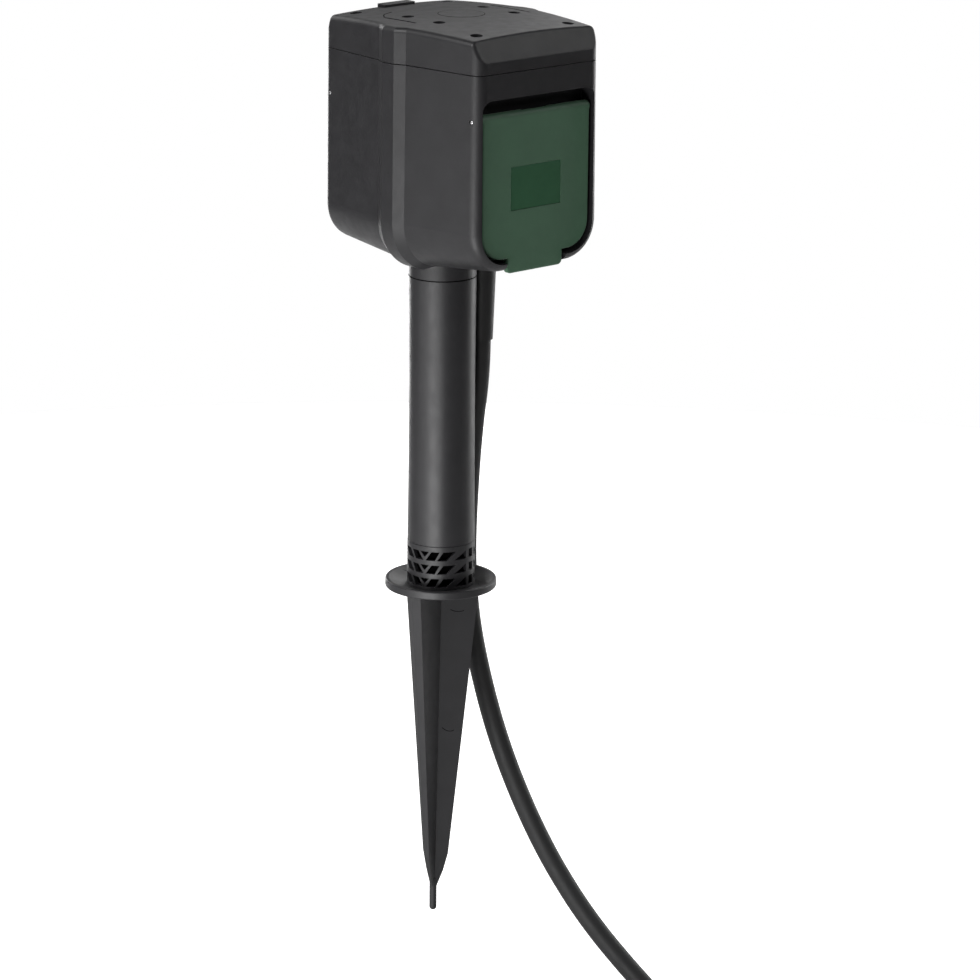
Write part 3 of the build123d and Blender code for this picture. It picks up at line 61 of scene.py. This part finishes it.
# Lead: the route's points, repeated from the part's source, in metres
LEAD_ROUTE = (
    (0.0246, 0.0, 0.1190),
    (0.0246, 0.0, 0.1026),
    (0.0275, 0.0082, 0.0722),
    (0.0292, 0.0130, 0.0399),
    (0.0314, 0.0170, 0.0055),
    (0.0327, 0.0154, -0.0271),
    (0.0369, 0.0102, -0.0599),
    (0.0410, 0.0011, -0.0918),
    (0.0470, -0.0112, -0.1233),
    (0.0540, -0.0245, -0.1510),
    (0.0618, -0.0437, -0.1783),
    (0.0739, -0.0652, -0.2046),
    (0.0825, -0.0870, -0.2235),
    (0.0865, -0.1095, -0.2340),
    (0.0835, -0.1330, -0.2375),
    (0.0750, -0.1545, -0.2375),
)
LEAD_RADIUS = 5.0 * MM
COIL_RADIUS = 62.0 * MM
COIL_STEP = 5.45 * MM
COIL_STEPS = (0, 1, 2, 3, 2, 1)
COIL_RISE = 11.6 * MM
COIL_END = 38.0 * MM
HALF_TURN_POINTS = 7

# Smooth lines, from a few control points
LINE_ORDER = 3
LINE_STEPS = 10
LINE_ROUND_STEPS = 8

# Label field: the recess in each lid, filled by a thin polished plate
LID_SIDES = {"front_lid": -1, "rear_lid": 1}
HEAD_X = 10.6 * MM
LABEL_LEVEL = 204.0 * MM
LABEL_WIDTH = 31.2 * MM
LABEL_HEIGHT = 20.4 * MM
LABEL_BACK = 52.55 * MM
LABEL_THICKNESS = 0.15 * MM
LABEL_EDGE = 0.06 * MM

# Hinge pin ends
PIN_RADIUS = 1.0 * MM
PIN_CROWN = 0.35 * MM
PIN_SEGMENTS = 24
PIN_RINGS = 12

# Cap over the spring's slot in a lid's hinge roll
ROLL_AXIS_DEPTH = 50.2 * MM
ROLL_AXIS_LEVEL = 237.5 * MM
ROLL_RADIUS = 2.7 * MM
CAP_THICKNESS = 0.5 * MM
CAP_LENGTH = 16.4 * MM
CAP_ANGLES = (42, 72)  # degrees above level, seen from the pin
CAP_STEPS = 8

# Turned pieces
TURN_SEGMENTS = 96

# Sleeve inside the lattice ring, a dark sheet of painted shade behind its openings
SLEEVE_RADIUS = 12.8 * MM
SLEEVE_WALL = 0.6 * MM
SLEEVE_FOOT = 3.0 * MM
SLEEVE_TOP = 21.4 * MM

# Joint lines of painted shade round the disc in the cover and between the collar and the post
JOINT_THICKNESS = 0.30 * MM
JOINT_SIDES = 10
DISC_JOINT_RADIUS = 10.98 * MM
DISC_JOINT_LEVEL = 277.40 * MM
POST_JOINT_RADIUS = 16.03 * MM
POST_JOINT_LEVEL = 153.9 * MM

# The cover's two grooves, by their place from the head's middle and their length
LEFT_GROOVE = (-31.9 * MM, 7.1 * MM, 23.0 * MM)
RIGHT_GROOVE = (31.9 * MM, 1.0 * MM, 28.0 * MM)
GROOVE_WIDTH = 1.4 * MM
GROOVE_SINK = 0.12 * MM
GROOVE_STEPS = 8
ABOVE_ALL = 1.0  # a height over the whole object

# Hooked end of the left groove, drawn as a line of painted shade, from the groove to its tip in the
# photograph, in pixels
HOOK_PIXELS = ((384.6, 17.0), (382.8, 15.4), (386.0, 13.8), (391.5, 12.2))
HOOK_RADIUS = 0.35 * MM
HOOK_SINK = 0.2 * MM

# Mould marks on the spike, drawn as lines of painted shade at their edges, by their ends in the
# photograph, in pixels
FLANGE_MARKS = (
    ((394.6, 567.8), (406.5, 570.6)),
    ((388.5, 582.3), (405.5, 589.6)),
    ((478.0, 584.0), (488.5, 585.3)),
)
BLADE_MARKS = (
    # left end, lowest point and right end of each arc
    ((450.5, 609.5), (457.5, 613.0), (464.0, 610.5)),
    ((442.0, 727.5), (448.5, 733.2), (454.0, 730.0)),
)
MARK_RADIUS = 0.18 * MM
MARK_SINK = 0.08 * MM

# Floor: level with the underside of the coil
FLOOR_LEVEL = -0.2452
FLOOR_RADIUS = 1.3
FLOOR_SEGMENTS = 128
FLOOR_GREY = (0.8, 0.8, 0.8, 1.0)
FLOOR_ROUGHNESS = 0.9

# Studio: the lights stand round a point inside the object, and one stands nearer, round the spike's top
WHITE = (1.0, 1.0, 1.0, 1.0)
SURROUND = 0.01
STUDIO_MIDDLE = Vector((0.0, 0.0, 0.12))
STUDIO_REACH = 1.6
SPIKE_TOP = Vector((0.0, 0.0, 0.05))
SPIKE_REACH = 0.576

# Grain, edges and drift of the surfaces
GRAIN_SIZE = 0.6 * MM
GRAIN_HEIGHT = 0.03 * MM
GRAIN_OCTAVES = 2.0
EDGE_SOFTNESS = 0.25 * MM
COLOUR_DRIFT = 0.08
COLOUR_DRIFT_SIZE = 14 * MM
COLOUR_OCTAVES = 4.0
COLOUR_SPAN = (0.35, 0.65)  # the noise's values at the dark and the light colour
GLOSS_DRIFT = 0.04
GLOSS_DRIFT_SIZE = 5 * MM
GLOSS_OCTAVES = 3.0
GLOSS_SPAN = (0.3, 0.7)  # the noise's values at the lowest and the highest roughness
WIRE_GRAIN_HEIGHT = 0.003 * MM
METAL_GRAIN_SIZE = 0.8 * MM
METAL_GRAIN_HEIGHT = 0.0003 * MM
METAL_DRIFT = 0.05
METAL_DRIFT_SIZE = 9 * MM
METAL_GLOSS_DRIFT_SIZE = 6 * MM

# Colours, in linear light
ANTHRACITE = (0.0205, 0.0200, 0.0220)
LID_GREEN = (0.0480, 0.1280, 0.0690)
LEAD_BLACK = (0.0165, 0.0165, 0.0170)
PLUG_BLACK = (0.0130, 0.0130, 0.0135)
SEAL_BLACK = (0.0095, 0.0095, 0.0095)
INSERT_GREY = (0.0300, 0.0300, 0.0320)
CLAMP_BLACK = (0.0120, 0.0120, 0.0120)
WIRE_BROWN = (0.11, 0.04, 0.014)
WIRE_BLUE = (0.011, 0.065, 0.32)
WIRE_GREEN_YELLOW = (0.30, 0.43, 0.02)
BRASS = (0.72, 0.52, 0.22)
NICKEL = (0.66, 0.64, 0.60)
BRIGHT_STEEL = (0.86, 0.86, 0.87)
SPRING_STEEL = (0.12, 0.12, 0.125)
DARK_ZINC = (0.05, 0.05, 0.052)
# painted shade, for joints, grooves, marks and the lattice ring's openings
PAINTED_SHADE_BLACK = (0.002, 0.002, 0.002)


# Materials
def new_material(name):
    """A node material, its nodes and links, and its principled shader."""
    material = bpy.data.materials.new(name)
    material.use_nodes = True
    tree = material.node_tree
    return material, tree.nodes, tree.links, tree.nodes["Principled BSDF"]


def noise(nodes, links, place, size, octaves):
    """A noise whose features are about `size` metres across."""
    node = nodes.new("ShaderNodeTexNoise")
    node.inputs["Scale"].default_value = 1 / size
    node.inputs["Detail"].default_value = octaves
    links.new(place.outputs["Object"], node.inputs["Vector"])
    return node.outputs["Fac"]


def add_grain(nodes, links, shader, place, size, height, softness):
    """A fine bump of a given size and height, on edges that look softened."""
    bump = nodes.new("ShaderNodeBump")
    bump.inputs["Distance"].default_value = height
    links.new(noise(nodes, links, place, size, GRAIN_OCTAVES), bump.inputs["Height"])
    if softness:
        bevel = nodes.new("ShaderNodeBevel")
        bevel.inputs["Radius"].default_value = softness
        links.new(bevel.outputs["Normal"], bump.inputs["Normal"])
    links.new(bump.outputs["Normal"], shader.inputs["Normal"])


def add_drift(nodes, links, shader, place, dark, light, size):
    """A slight drift between two colours over the surface."""
    ramp = nodes.new("ShaderNodeValToRGB")
    for stop, position, colour in zip(ramp.color_ramp.elements, COLOUR_SPAN, (dark, light)):
        stop.position = position
        stop.color = (*colour, 1.0)
    links.new(noise(nodes, links, place, size, COLOUR_OCTAVES), ramp.inputs["Fac"])
    links.new(ramp.outputs["Color"], shader.inputs["Base Color"])


def add_gloss_drift(nodes, links, shader, place, roughness, size):
    """A roughness that wanders a little to either side of its value."""
    span = nodes.new("ShaderNodeMapRange")
    span.inputs["From Min"].default_value, span.inputs["From Max"].default_value = GLOSS_SPAN
    span.inputs["To Min"].default_value = roughness - GLOSS_DRIFT
    span.inputs["To Max"].default_value = roughness + GLOSS_DRIFT
    links.new(noise(nodes, links, place, size, GLOSS_OCTAVES), span.inputs["Value"])
    links.new(span.outputs["Result"], shader.inputs["Roughness"])


def plastic(
    name,
    colour,
    roughness,
    grain=GRAIN_SIZE,
    height=GRAIN_HEIGHT,
    drift=COLOUR_DRIFT,
    softness=EDGE_SOFTNESS,
    sheen=0.0,
    ior=1.5,
):
    """Moulded plastic or rubber with a spark-eroded grain."""
    material, nodes, links, shader = new_material(name)
    shader.inputs["IOR"].default_value = ior
    shader.inputs["Sheen Weight"].default_value = sheen
    place = nodes.new("ShaderNodeTexCoord")
    dark = [value * (1 - drift) for value in colour]
    light = [value * (1 + drift) for value in colour]
    add_grain(nodes, links, shader, place, grain, height, softness)
    add_drift(nodes, links, shader, place, dark, light, COLOUR_DRIFT_SIZE)
    add_gloss_drift(nodes, links, shader, place, roughness, GLOSS_DRIFT_SIZE)
    return material


def metal(name, colour, roughness):
    """Drawn or plated metal with a faint grain."""
    material, nodes, links, shader = new_material(name)
    shader.inputs["Metallic"].default_value = 1.0
    place = nodes.new("ShaderNodeTexCoord")
    dark = [value * (1 - METAL_DRIFT) for value in colour]
    add_grain(nodes, links, shader, place, METAL_GRAIN_SIZE, METAL_GRAIN_HEIGHT, 0.0)
    add_drift(nodes, links, shader, place, dark, colour, METAL_DRIFT_SIZE)
    add_gloss_drift(nodes, links, shader, place, roughness, METAL_GLOSS_DRIFT_SIZE)
    return material


def wire(name, colour, drift=COLOUR_DRIFT):
    """Smooth plastic of a wire's insulation."""
    return plastic(name, colour, roughness=0.4, height=WIRE_GRAIN_HEIGHT, drift=drift)


SLOT_MATERIALS = {
    "housing_plastic": plastic("housing", ANTHRACITE, roughness=0.44),
    "cover_plastic": plastic("cover", ANTHRACITE, roughness=0.44),
    "lid_plastic": plastic(
        "lid", LID_GREEN, roughness=0.55, grain=0.5 * MM, height=0.012 * MM, drift=0.05, sheen=0.2
    ),
    "post_plastic": plastic("post", ANTHRACITE, roughness=0.42),
    "spike_plastic": plastic("spike", ANTHRACITE, roughness=0.42),
    "lead_rubber": plastic(
        "lead", LEAD_BLACK, roughness=0.60, grain=0.8 * MM, height=0.006 * MM, softness=0.0
    ),
    "plug_rubber": plastic("plug", PLUG_BLACK, roughness=0.5),
    "seal_rubber": plastic("seal", SEAL_BLACK, roughness=0.6),
    "insert_plastic": plastic("insert", INSERT_GREY, roughness=0.4),
    "clamp_plastic": plastic("clamp", CLAMP_BLACK, roughness=0.45),
    "brown_wire": wire("brown wire", WIRE_BROWN),
    "blue_wire": wire("blue wire", WIRE_BLUE),
    "green_yellow_wire": wire("earth wire", WIRE_GREEN_YELLOW, drift=0.4),
    "contact_brass": metal("brass", BRASS, roughness=0.3),
    "contact_nickel": metal("nickel", NICKEL, roughness=0.28),
    "pin_steel": metal("pin steel", BRIGHT_STEEL, roughness=0.3),
    "spring_steel": metal("spring steel", SPRING_STEEL, roughness=0.3),
    "screw_steel": metal("screw steel", DARK_ZINC, roughness=0.35),
}

# Polished field of the lids' labels
POLISHED_LID = plastic(
    "polished lid", LID_GREEN, roughness=0.16, grain=2 * MM, height=0.001 * MM, drift=0.04, softness=0.0
)

# Painted shade in hollow joints, grooves, marks and openings, darker than any surface
PAINTED_SHADE = plastic("painted_shade", PAINTED_SHADE_BLACK, roughness=0.8, softness=0.0, ior=1.05)

for entry in frame["record"]["subparts"]:
    node = frame["nodes"][entry["node"]]
    node.data.materials.clear()
    node.data.materials.append(SLOT_MATERIALS[entry["material_slot"]])


# Camera
def camera_axes():
    """The camera's right, up and forward directions."""
    azimuth = math.radians(CAMERA_AZIMUTH)
    pitch = math.radians(CAMERA_PITCH)
    roll = math.radians(CAMERA_ROLL)
    level = Vector((math.sin(azimuth), math.cos(azimuth), 0.0))
    forward = level * math.cos(pitch) - Vector((0.0, 0.0, math.sin(pitch)))
    level_right = Vector((math.cos(azimuth), -math.sin(azimuth), 0.0))
    level_up = level_right.cross(forward)
    right = level_right * math.cos(roll) + level_up * math.sin(roll)
    up = -level_right * math.sin(roll) + level_up * math.cos(roll)
    return right, up, forward


RIGHT, UP, FORWARD = camera_axes()


def place_camera():
    """The photograph's camera."""
    data = bpy.data.cameras.new("camera")
    data.lens = LENS
    data.sensor_width = SENSOR
    camera = bpy.data.objects.new("camera", data)
    rotation = Matrix((RIGHT, UP, -FORWARD)).transposed()
    camera.matrix_world = Matrix.Translation(CAMERA_PLACE) @ rotation.to_4x4()
    bpy.context.collection.objects.link(camera)
    bpy.context.scene.camera = camera


def seen_on(node, pixel):
    """The point and normal of a node's surface at a pixel of the photograph."""
    scale = SENSOR / PICTURE_SIZE / LENS
    across = (pixel[0] - PICTURE_SIZE / 2) * scale
    down = (pixel[1] - PICTURE_SIZE / 2) * scale
    sight = (FORWARD + RIGHT * across - UP * down).normalized()
    hit, point, normal, _ = frame["nodes"][node].ray_cast(CAMERA_PLACE, sight)
    if not hit:
        raise ValueError(f"pixel {pixel} isn't on {node}")
    return point, normal


# Lead
def coil_points():
    """Control points round the coil's half turns, in the coil's own frame, then its straight end."""
    points = []
    start = Vector((0.0, 0.0, 0.0))
    side = 1
    step_angle = math.pi / HALF_TURN_POINTS
    outside = 1 / (0.75 + 0.25 * math.cos(step_angle))  # puts the smooth line on the turn's radius
    for step in COIL_STEPS:
        radius = COIL_RADIUS - step * COIL_STEP
        rise = COIL_RISE if step == max(COIL_STEPS) else 0.0
        centre = start + Vector((0.0, -side * radius, 0.0))
        for index in range(HALF_TURN_POINTS):
            angle = (index + 0.5) * step_angle
            reach = side * radius * outside
            lift = rise * (1 - math.cos(angle)) / 2
            points.append(centre + Vector((reach * math.sin(angle), reach * math.cos(angle), lift)))
        start = centre + Vector((0.0, -side * radius, rise))
        side = -side
    points.append(start + Vector((COIL_END / 2, 0.0, 0.0)))
    points.append(start + Vector((COIL_END, 0.0, 0.0)))
    return points


def smooth_line(name, points, radius, material):
    """A round line along control points."""
    curve = bpy.data.curves.new(name, "CURVE")
    curve.dimensions = "3D"
    curve.bevel_depth = radius
    curve.bevel_resolution = LINE_ROUND_STEPS
    curve.resolution_u = LINE_STEPS
    curve.use_fill_caps = True
    spline = curve.splines.new("NURBS")
    spline.points.add(len(points) - 1)
    for control, point in zip(spline.points, points):
        control.co = (*point, 1.0)
    spline.order_u = LINE_ORDER
    spline.use_endpoint_u = True
    line = bpy.data.objects.new(name, curve)
    bpy.context.collection.objects.link(line)
    line.data.materials.append(material)
    return line


def lead_piece():
    """The whole lead outside the housing as one smooth line."""
    free = [Vector(point) for point in LEAD_ROUTE]
    heading = (free[-1] - free[-2]).normalized()
    left = Vector((-heading.y, heading.x, 0.0))
    wound = [free[-1] + heading * p.x + left * p.y + Vector((0.0, 0.0, p.z)) for p in coil_points()]
    lead = smooth_line("lead_line", free[:-1] + wound, LEAD_RADIUS, SLOT_MATERIALS["lead_rubber"])
    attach(lead, "housing")
    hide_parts("cable", "cable_coil")


# Small pieces
def mesh_piece(name, form, material, body):
    """An object from a bmesh, with its material, slot and body."""
    mesh = bpy.data.meshes.new(name)
    form.to_mesh(mesh)
    form.free()
    piece = bpy.data.objects.new(name, mesh)
    bpy.context.collection.objects.link(piece)
    piece.data.materials.append(material)
    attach(piece, body)
    return piece


def label_plate(lid, side):
    """The polished bare field in a lid's recess, a thin plate with softened edges."""
    form = bmesh.new()
    bmesh.ops.create_cube(form, size=1.0)
    bmesh.ops.scale(form, vec=(LABEL_WIDTH, LABEL_THICKNESS, LABEL_HEIGHT), verts=form.verts)
    middle = Vector((HEAD_X, side * (LABEL_BACK + LABEL_THICKNESS / 2), LABEL_LEVEL))
    bmesh.ops.translate(form, vec=middle, verts=form.verts)
    bmesh.ops.bevel(form, geom=form.edges[:], offset=LABEL_EDGE, segments=2, affect="EDGES", profile=0.5)
    mesh_piece(f"{lid}_field", form, POLISHED_LID, lid)


def join_rings(form, rings):
    """Faces between rings of four corners, and over both ends."""
    for ring, following in zip(rings, rings[1:]):
        for corner in range(4):
            other = (corner + 1) % 4
            form.faces.new((ring[corner], ring[other], following[other], following[corner]))
    form.faces.new(rings[0])
    form.faces.new(reversed(rings[-1]))
    bmesh.ops.recalc_face_normals(form, faces=form.faces)


def roll_cap(lid, side):
    """The part of a lid's hinge roll that bridges the slot of its spring."""
    first, last = CAP_ANGLES
    inside = ROLL_RADIUS - CAP_THICKNESS
    corners = ((-1, ROLL_RADIUS), (1, ROLL_RADIUS), (1, inside), (-1, inside))
    form = bmesh.new()
    rings = []
    for step in range(CAP_STEPS + 1):
        angle = math.radians(first + (last - first) * step / CAP_STEPS)
        ring = []
        for end, radius in corners:
            depth = side * (ROLL_AXIS_DEPTH + radius * math.cos(angle))
            level = ROLL_AXIS_LEVEL + radius * math.sin(angle)
            ring.append(form.verts.new((HEAD_X + end * CAP_LENGTH / 2, depth, level)))
        rings.append(ring)
    join_rings(form, rings)
    mesh_piece(f"{lid}_roll_cap", form, SLOT_MATERIALS["lid_plastic"], lid)


def pin_end(pin, side):
    """The rounded end of a hinge pin, on the flank of the housing."""
    low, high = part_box(pin)
    middle = (low + high) / 2
    end_x = low.x if side < 0 else high.x
    form = bmesh.new()
    bmesh.ops.create_uvsphere(form, u_segments=PIN_SEGMENTS, v_segments=PIN_RINGS, radius=PIN_RADIUS)
    bmesh.ops.scale(form, vec=(PIN_CROWN / PIN_RADIUS, 1.0, 1.0), verts=form.verts)
    bmesh.ops.translate(form, vec=(end_x, middle.y, middle.z), verts=form.verts)
    for face in form.faces:
        face.smooth = True
    end = "left" if side < 0 else "right"
    mesh_piece(f"{pin}_{end}_end", form, SLOT_MATERIALS["pin_steel"], "housing")


def turned(profile, middle):
    """A closed profile of radii and levels, turned about an upright axis."""
    form = bmesh.new()
    rings = []
    for radius, level in profile:
        ring = bmesh.ops.create_circle(form, segments=TURN_SEGMENTS, radius=radius)["verts"]
        bmesh.ops.translate(form, vec=middle + Vector((0.0, 0.0, level)), verts=ring)
        rings.append(ring)
    for inner, outer in zip(rings, rings[1:] + rings[:1]):
        for index in range(len(inner)):
            following = (index + 1) % len(inner)
            form.faces.new((inner[index], inner[following], outer[following], outer[index]))
    bmesh.ops.recalc_face_normals(form, faces=form.faces)
    return form


def ring_sleeve():
    """A sleeve of painted shade round the spike's neck, behind the openings of the lattice ring."""
    inside = SLEEVE_RADIUS - SLEEVE_WALL
    outer_face = ((SLEEVE_RADIUS, SLEEVE_FOOT), (SLEEVE_RADIUS, SLEEVE_TOP))
    inner_face = ((inside, SLEEVE_TOP), (inside, SLEEVE_FOOT))
    profile = outer_face + inner_face
    form = turned(profile, Vector((0.0, 0.0, 0.0)))
    mesh_piece("ring_sleeve", form, PAINTED_SHADE, "housing")


def joint_line(name, middle, radius):
    """A line of painted shade in a round joint, about an upright axis."""
    profile = []
    for index in range(JOINT_SIDES):
        angle = 2 * math.pi * index / JOINT_SIDES
        profile.append((radius + JOINT_THICKNESS * math.cos(angle), JOINT_THICKNESS * math.sin(angle)))
    mesh_piece(name, turned(profile, middle), PAINTED_SHADE, "housing")


def cover_level(x, y):
    """The height of the cover's top at a place."""
    start = Vector((x, y, ABOVE_ALL))
    down = Vector((0.0, 0.0, -1.0))
    hit, point, _, _ = frame["nodes"]["head_cover"].ray_cast(start, down)
    if not hit:
        raise ValueError(f"nothing of the cover at {x}, {y}")
    return point.z


def groove_floor(number, x, y, length):
    """Painted shade in a groove in the cover, as a dark strip just under the cover's top."""
    corners = ((-1, 0.0), (1, 0.0), (1, GROOVE_SINK), (-1, GROOVE_SINK))
    form = bmesh.new()
    rings = []
    for step in range(GROOVE_STEPS + 1):
        along = y + length * (step / GROOVE_STEPS - 0.5)
        beside = [cover_level(HEAD_X + x + side * GROOVE_WIDTH, along) for side in (-1, 1)]
        level = min(beside) - GROOVE_SINK
        ring = []
        for side, drop in corners:
            ring.append(form.verts.new((HEAD_X + x + side * GROOVE_WIDTH / 2, along, level - drop)))
        rings.append(ring)
    join_rings(form, rings)
    mesh_piece(f"groove_floor_{number}", form, PAINTED_SHADE, "housing")


def drawn_line(name, node, pixels, radius, sink):
    """A fine line of painted shade that lies on a node along pixels of the photograph."""
    points = []
    for pixel in pixels:
        point, normal = seen_on(node, pixel)
        points.append(point - normal * sink)
    line = smooth_line(name, points, radius, PAINTED_SHADE)
    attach(line, "housing")


# Studio
def softbox(name, bearing, rise, width, height, power, middle=STUDIO_MIDDLE, reach=STUDIO_REACH):
    """A rectangular light at a bearing to the right of the camera and a rise above level, in degrees."""
    around = math.radians(bearing)
    above = math.radians(rise)
    level_back = Vector((-FORWARD.x, -FORWARD.y, 0.0)).normalized()
    level_right = Vector((RIGHT.x, RIGHT.y, 0.0)).normalized()
    level = level_back * math.cos(around) + level_right * math.sin(around)
    outward = level * math.cos(above) + Vector((0.0, 0.0, math.sin(above)))
    data = bpy.data.lights.new(name, "AREA")
    data.shape = "RECTANGLE"
    data.size = width
    data.size_y = height
    data.energy = power
    light = bpy.data.objects.new(name, data)
    turn = (-outward).to_track_quat("-Z", "Y").to_matrix().to_4x4()
    light.matrix_world = Matrix.Translation(middle + outward * reach) @ turn
    light.visible_camera = False
    bpy.context.collection.objects.link(light)


def background(nodes, strength):
    """A plain white background shader of a given strength."""
    shader = nodes.new("ShaderNodeBackground")
    shader.inputs["Color"].default_value = WHITE
    shader.inputs["Strength"].default_value = strength
    return shader


def background_rays(nodes, links):
    """One where a ray comes from the camera or through clear material, and nought elsewhere."""
    path = nodes.new("ShaderNodeLightPath")
    either = nodes.new("ShaderNodeMath")
    either.operation = "MAXIMUM"
    links.new(path.outputs["Is Camera Ray"], either.inputs[0])
    links.new(path.outputs["Is Transmission Ray"], either.inputs[1])
    return either.outputs["Value"]


def white_surround():
    """A white background for the camera and a dim surround for the surfaces."""
    world = bpy.data.worlds.new("surround")
    bpy.context.scene.world = world
    world.use_nodes = True
    nodes = world.node_tree.nodes
    links = world.node_tree.links
    nodes.clear()
    mix = nodes.new("ShaderNodeMixShader")
    output = nodes.new("ShaderNodeOutputWorld")
    links.new(background_rays(nodes, links), mix.inputs["Fac"])
    links.new(background(nodes, SURROUND).outputs["Background"], mix.inputs[1])
    links.new(background(nodes, 1.0).outputs["Background"], mix.inputs[2])
    links.new(mix.outputs["Shader"], output.inputs["Surface"])


def pale_floor():
    """A round floor, white to the camera, that runs out into the white background."""
    material, nodes, links, shader = new_material("floor")
    shader.inputs["Base Color"].default_value = FLOOR_GREY
    shader.inputs["Roughness"].default_value = FLOOR_ROUGHNESS
    shader.inputs["Emission Color"].default_value = WHITE
    links.new(background_rays(nodes, links), shader.inputs["Emission Strength"])
    form = bmesh.new()
    bmesh.ops.create_circle(form, cap_ends=True, segments=FLOOR_SEGMENTS, radius=FLOOR_RADIUS)
    bmesh.ops.translate(form, vec=(0.0, 0.0, FLOOR_LEVEL), verts=form.verts)
    mesh = bpy.data.meshes.new("floor")
    form.to_mesh(mesh)
    form.free()
    floor = bpy.data.objects.new("floor", mesh)
    floor.data.materials.append(material)
    bpy.context.collection.objects.link(floor)


place_camera()
lead_piece()
for lid, side in LID_SIDES.items():
    label_plate(lid, side)
    roll_cap(lid, side)
for pin in ("front_hinge_pin", "rear_hinge_pin"):
    pin_end(pin, -1)
    pin_end(pin, 1)
ring_sleeve()
joint_line("disc_joint", Vector((HEAD_X, 0.0, DISC_JOINT_LEVEL)), DISC_JOINT_RADIUS)
joint_line("post_joint", Vector((0.0, 0.0, POST_JOINT_LEVEL)), POST_JOINT_RADIUS)
groove_floor(0, *LEFT_GROOVE)
groove_floor(1, *RIGHT_GROOVE)
drawn_line("groove_hook", "head_cover", HOOK_PIXELS, HOOK_RADIUS, HOOK_SINK)
for number, pixels in enumerate(FLANGE_MARKS + BLADE_MARKS):
    name = f"spike_mark_{number}"
    drawn_line(name, "ground_spike", pixels, MARK_RADIUS, MARK_SINK)

# Surroundings and lights
white_surround()
pale_floor()
softbox("low left", bearing=-40, rise=-10, width=0.8, height=0.3, power=5.2)
softbox("high left", bearing=-60, rise=40, width=0.8, height=0.8, power=14.5)
softbox("low far left", bearing=-70, rise=-10, width=0.8, height=0.3, power=2.0)
softbox("high right", bearing=80, rise=40, width=0.8, height=0.8, power=4.9)
softbox("right rear", bearing=130, rise=5, width=0.55, height=1.1, power=9.5)
softbox("rear", bearing=165, rise=5, width=0.55, height=1.1, power=3.9)
softbox("high rear", bearing=180, rise=40, width=0.8, height=0.8, power=2.6)
softbox("back", bearing=200, rise=-5, width=0.8, height=0.6, power=9.0)
softbox("high back", bearing=222, rise=20, width=0.8, height=0.8, power=6.0)
softbox(
    "low front",
    bearing=-20,
    rise=-17.2,
    width=0.35,
    height=0.2,
    power=1.5,
    middle=SPIKE_TOP,
    reach=SPIKE_REACH,
)
bpy.context.scene.view_settings.view_transform = "Standard"
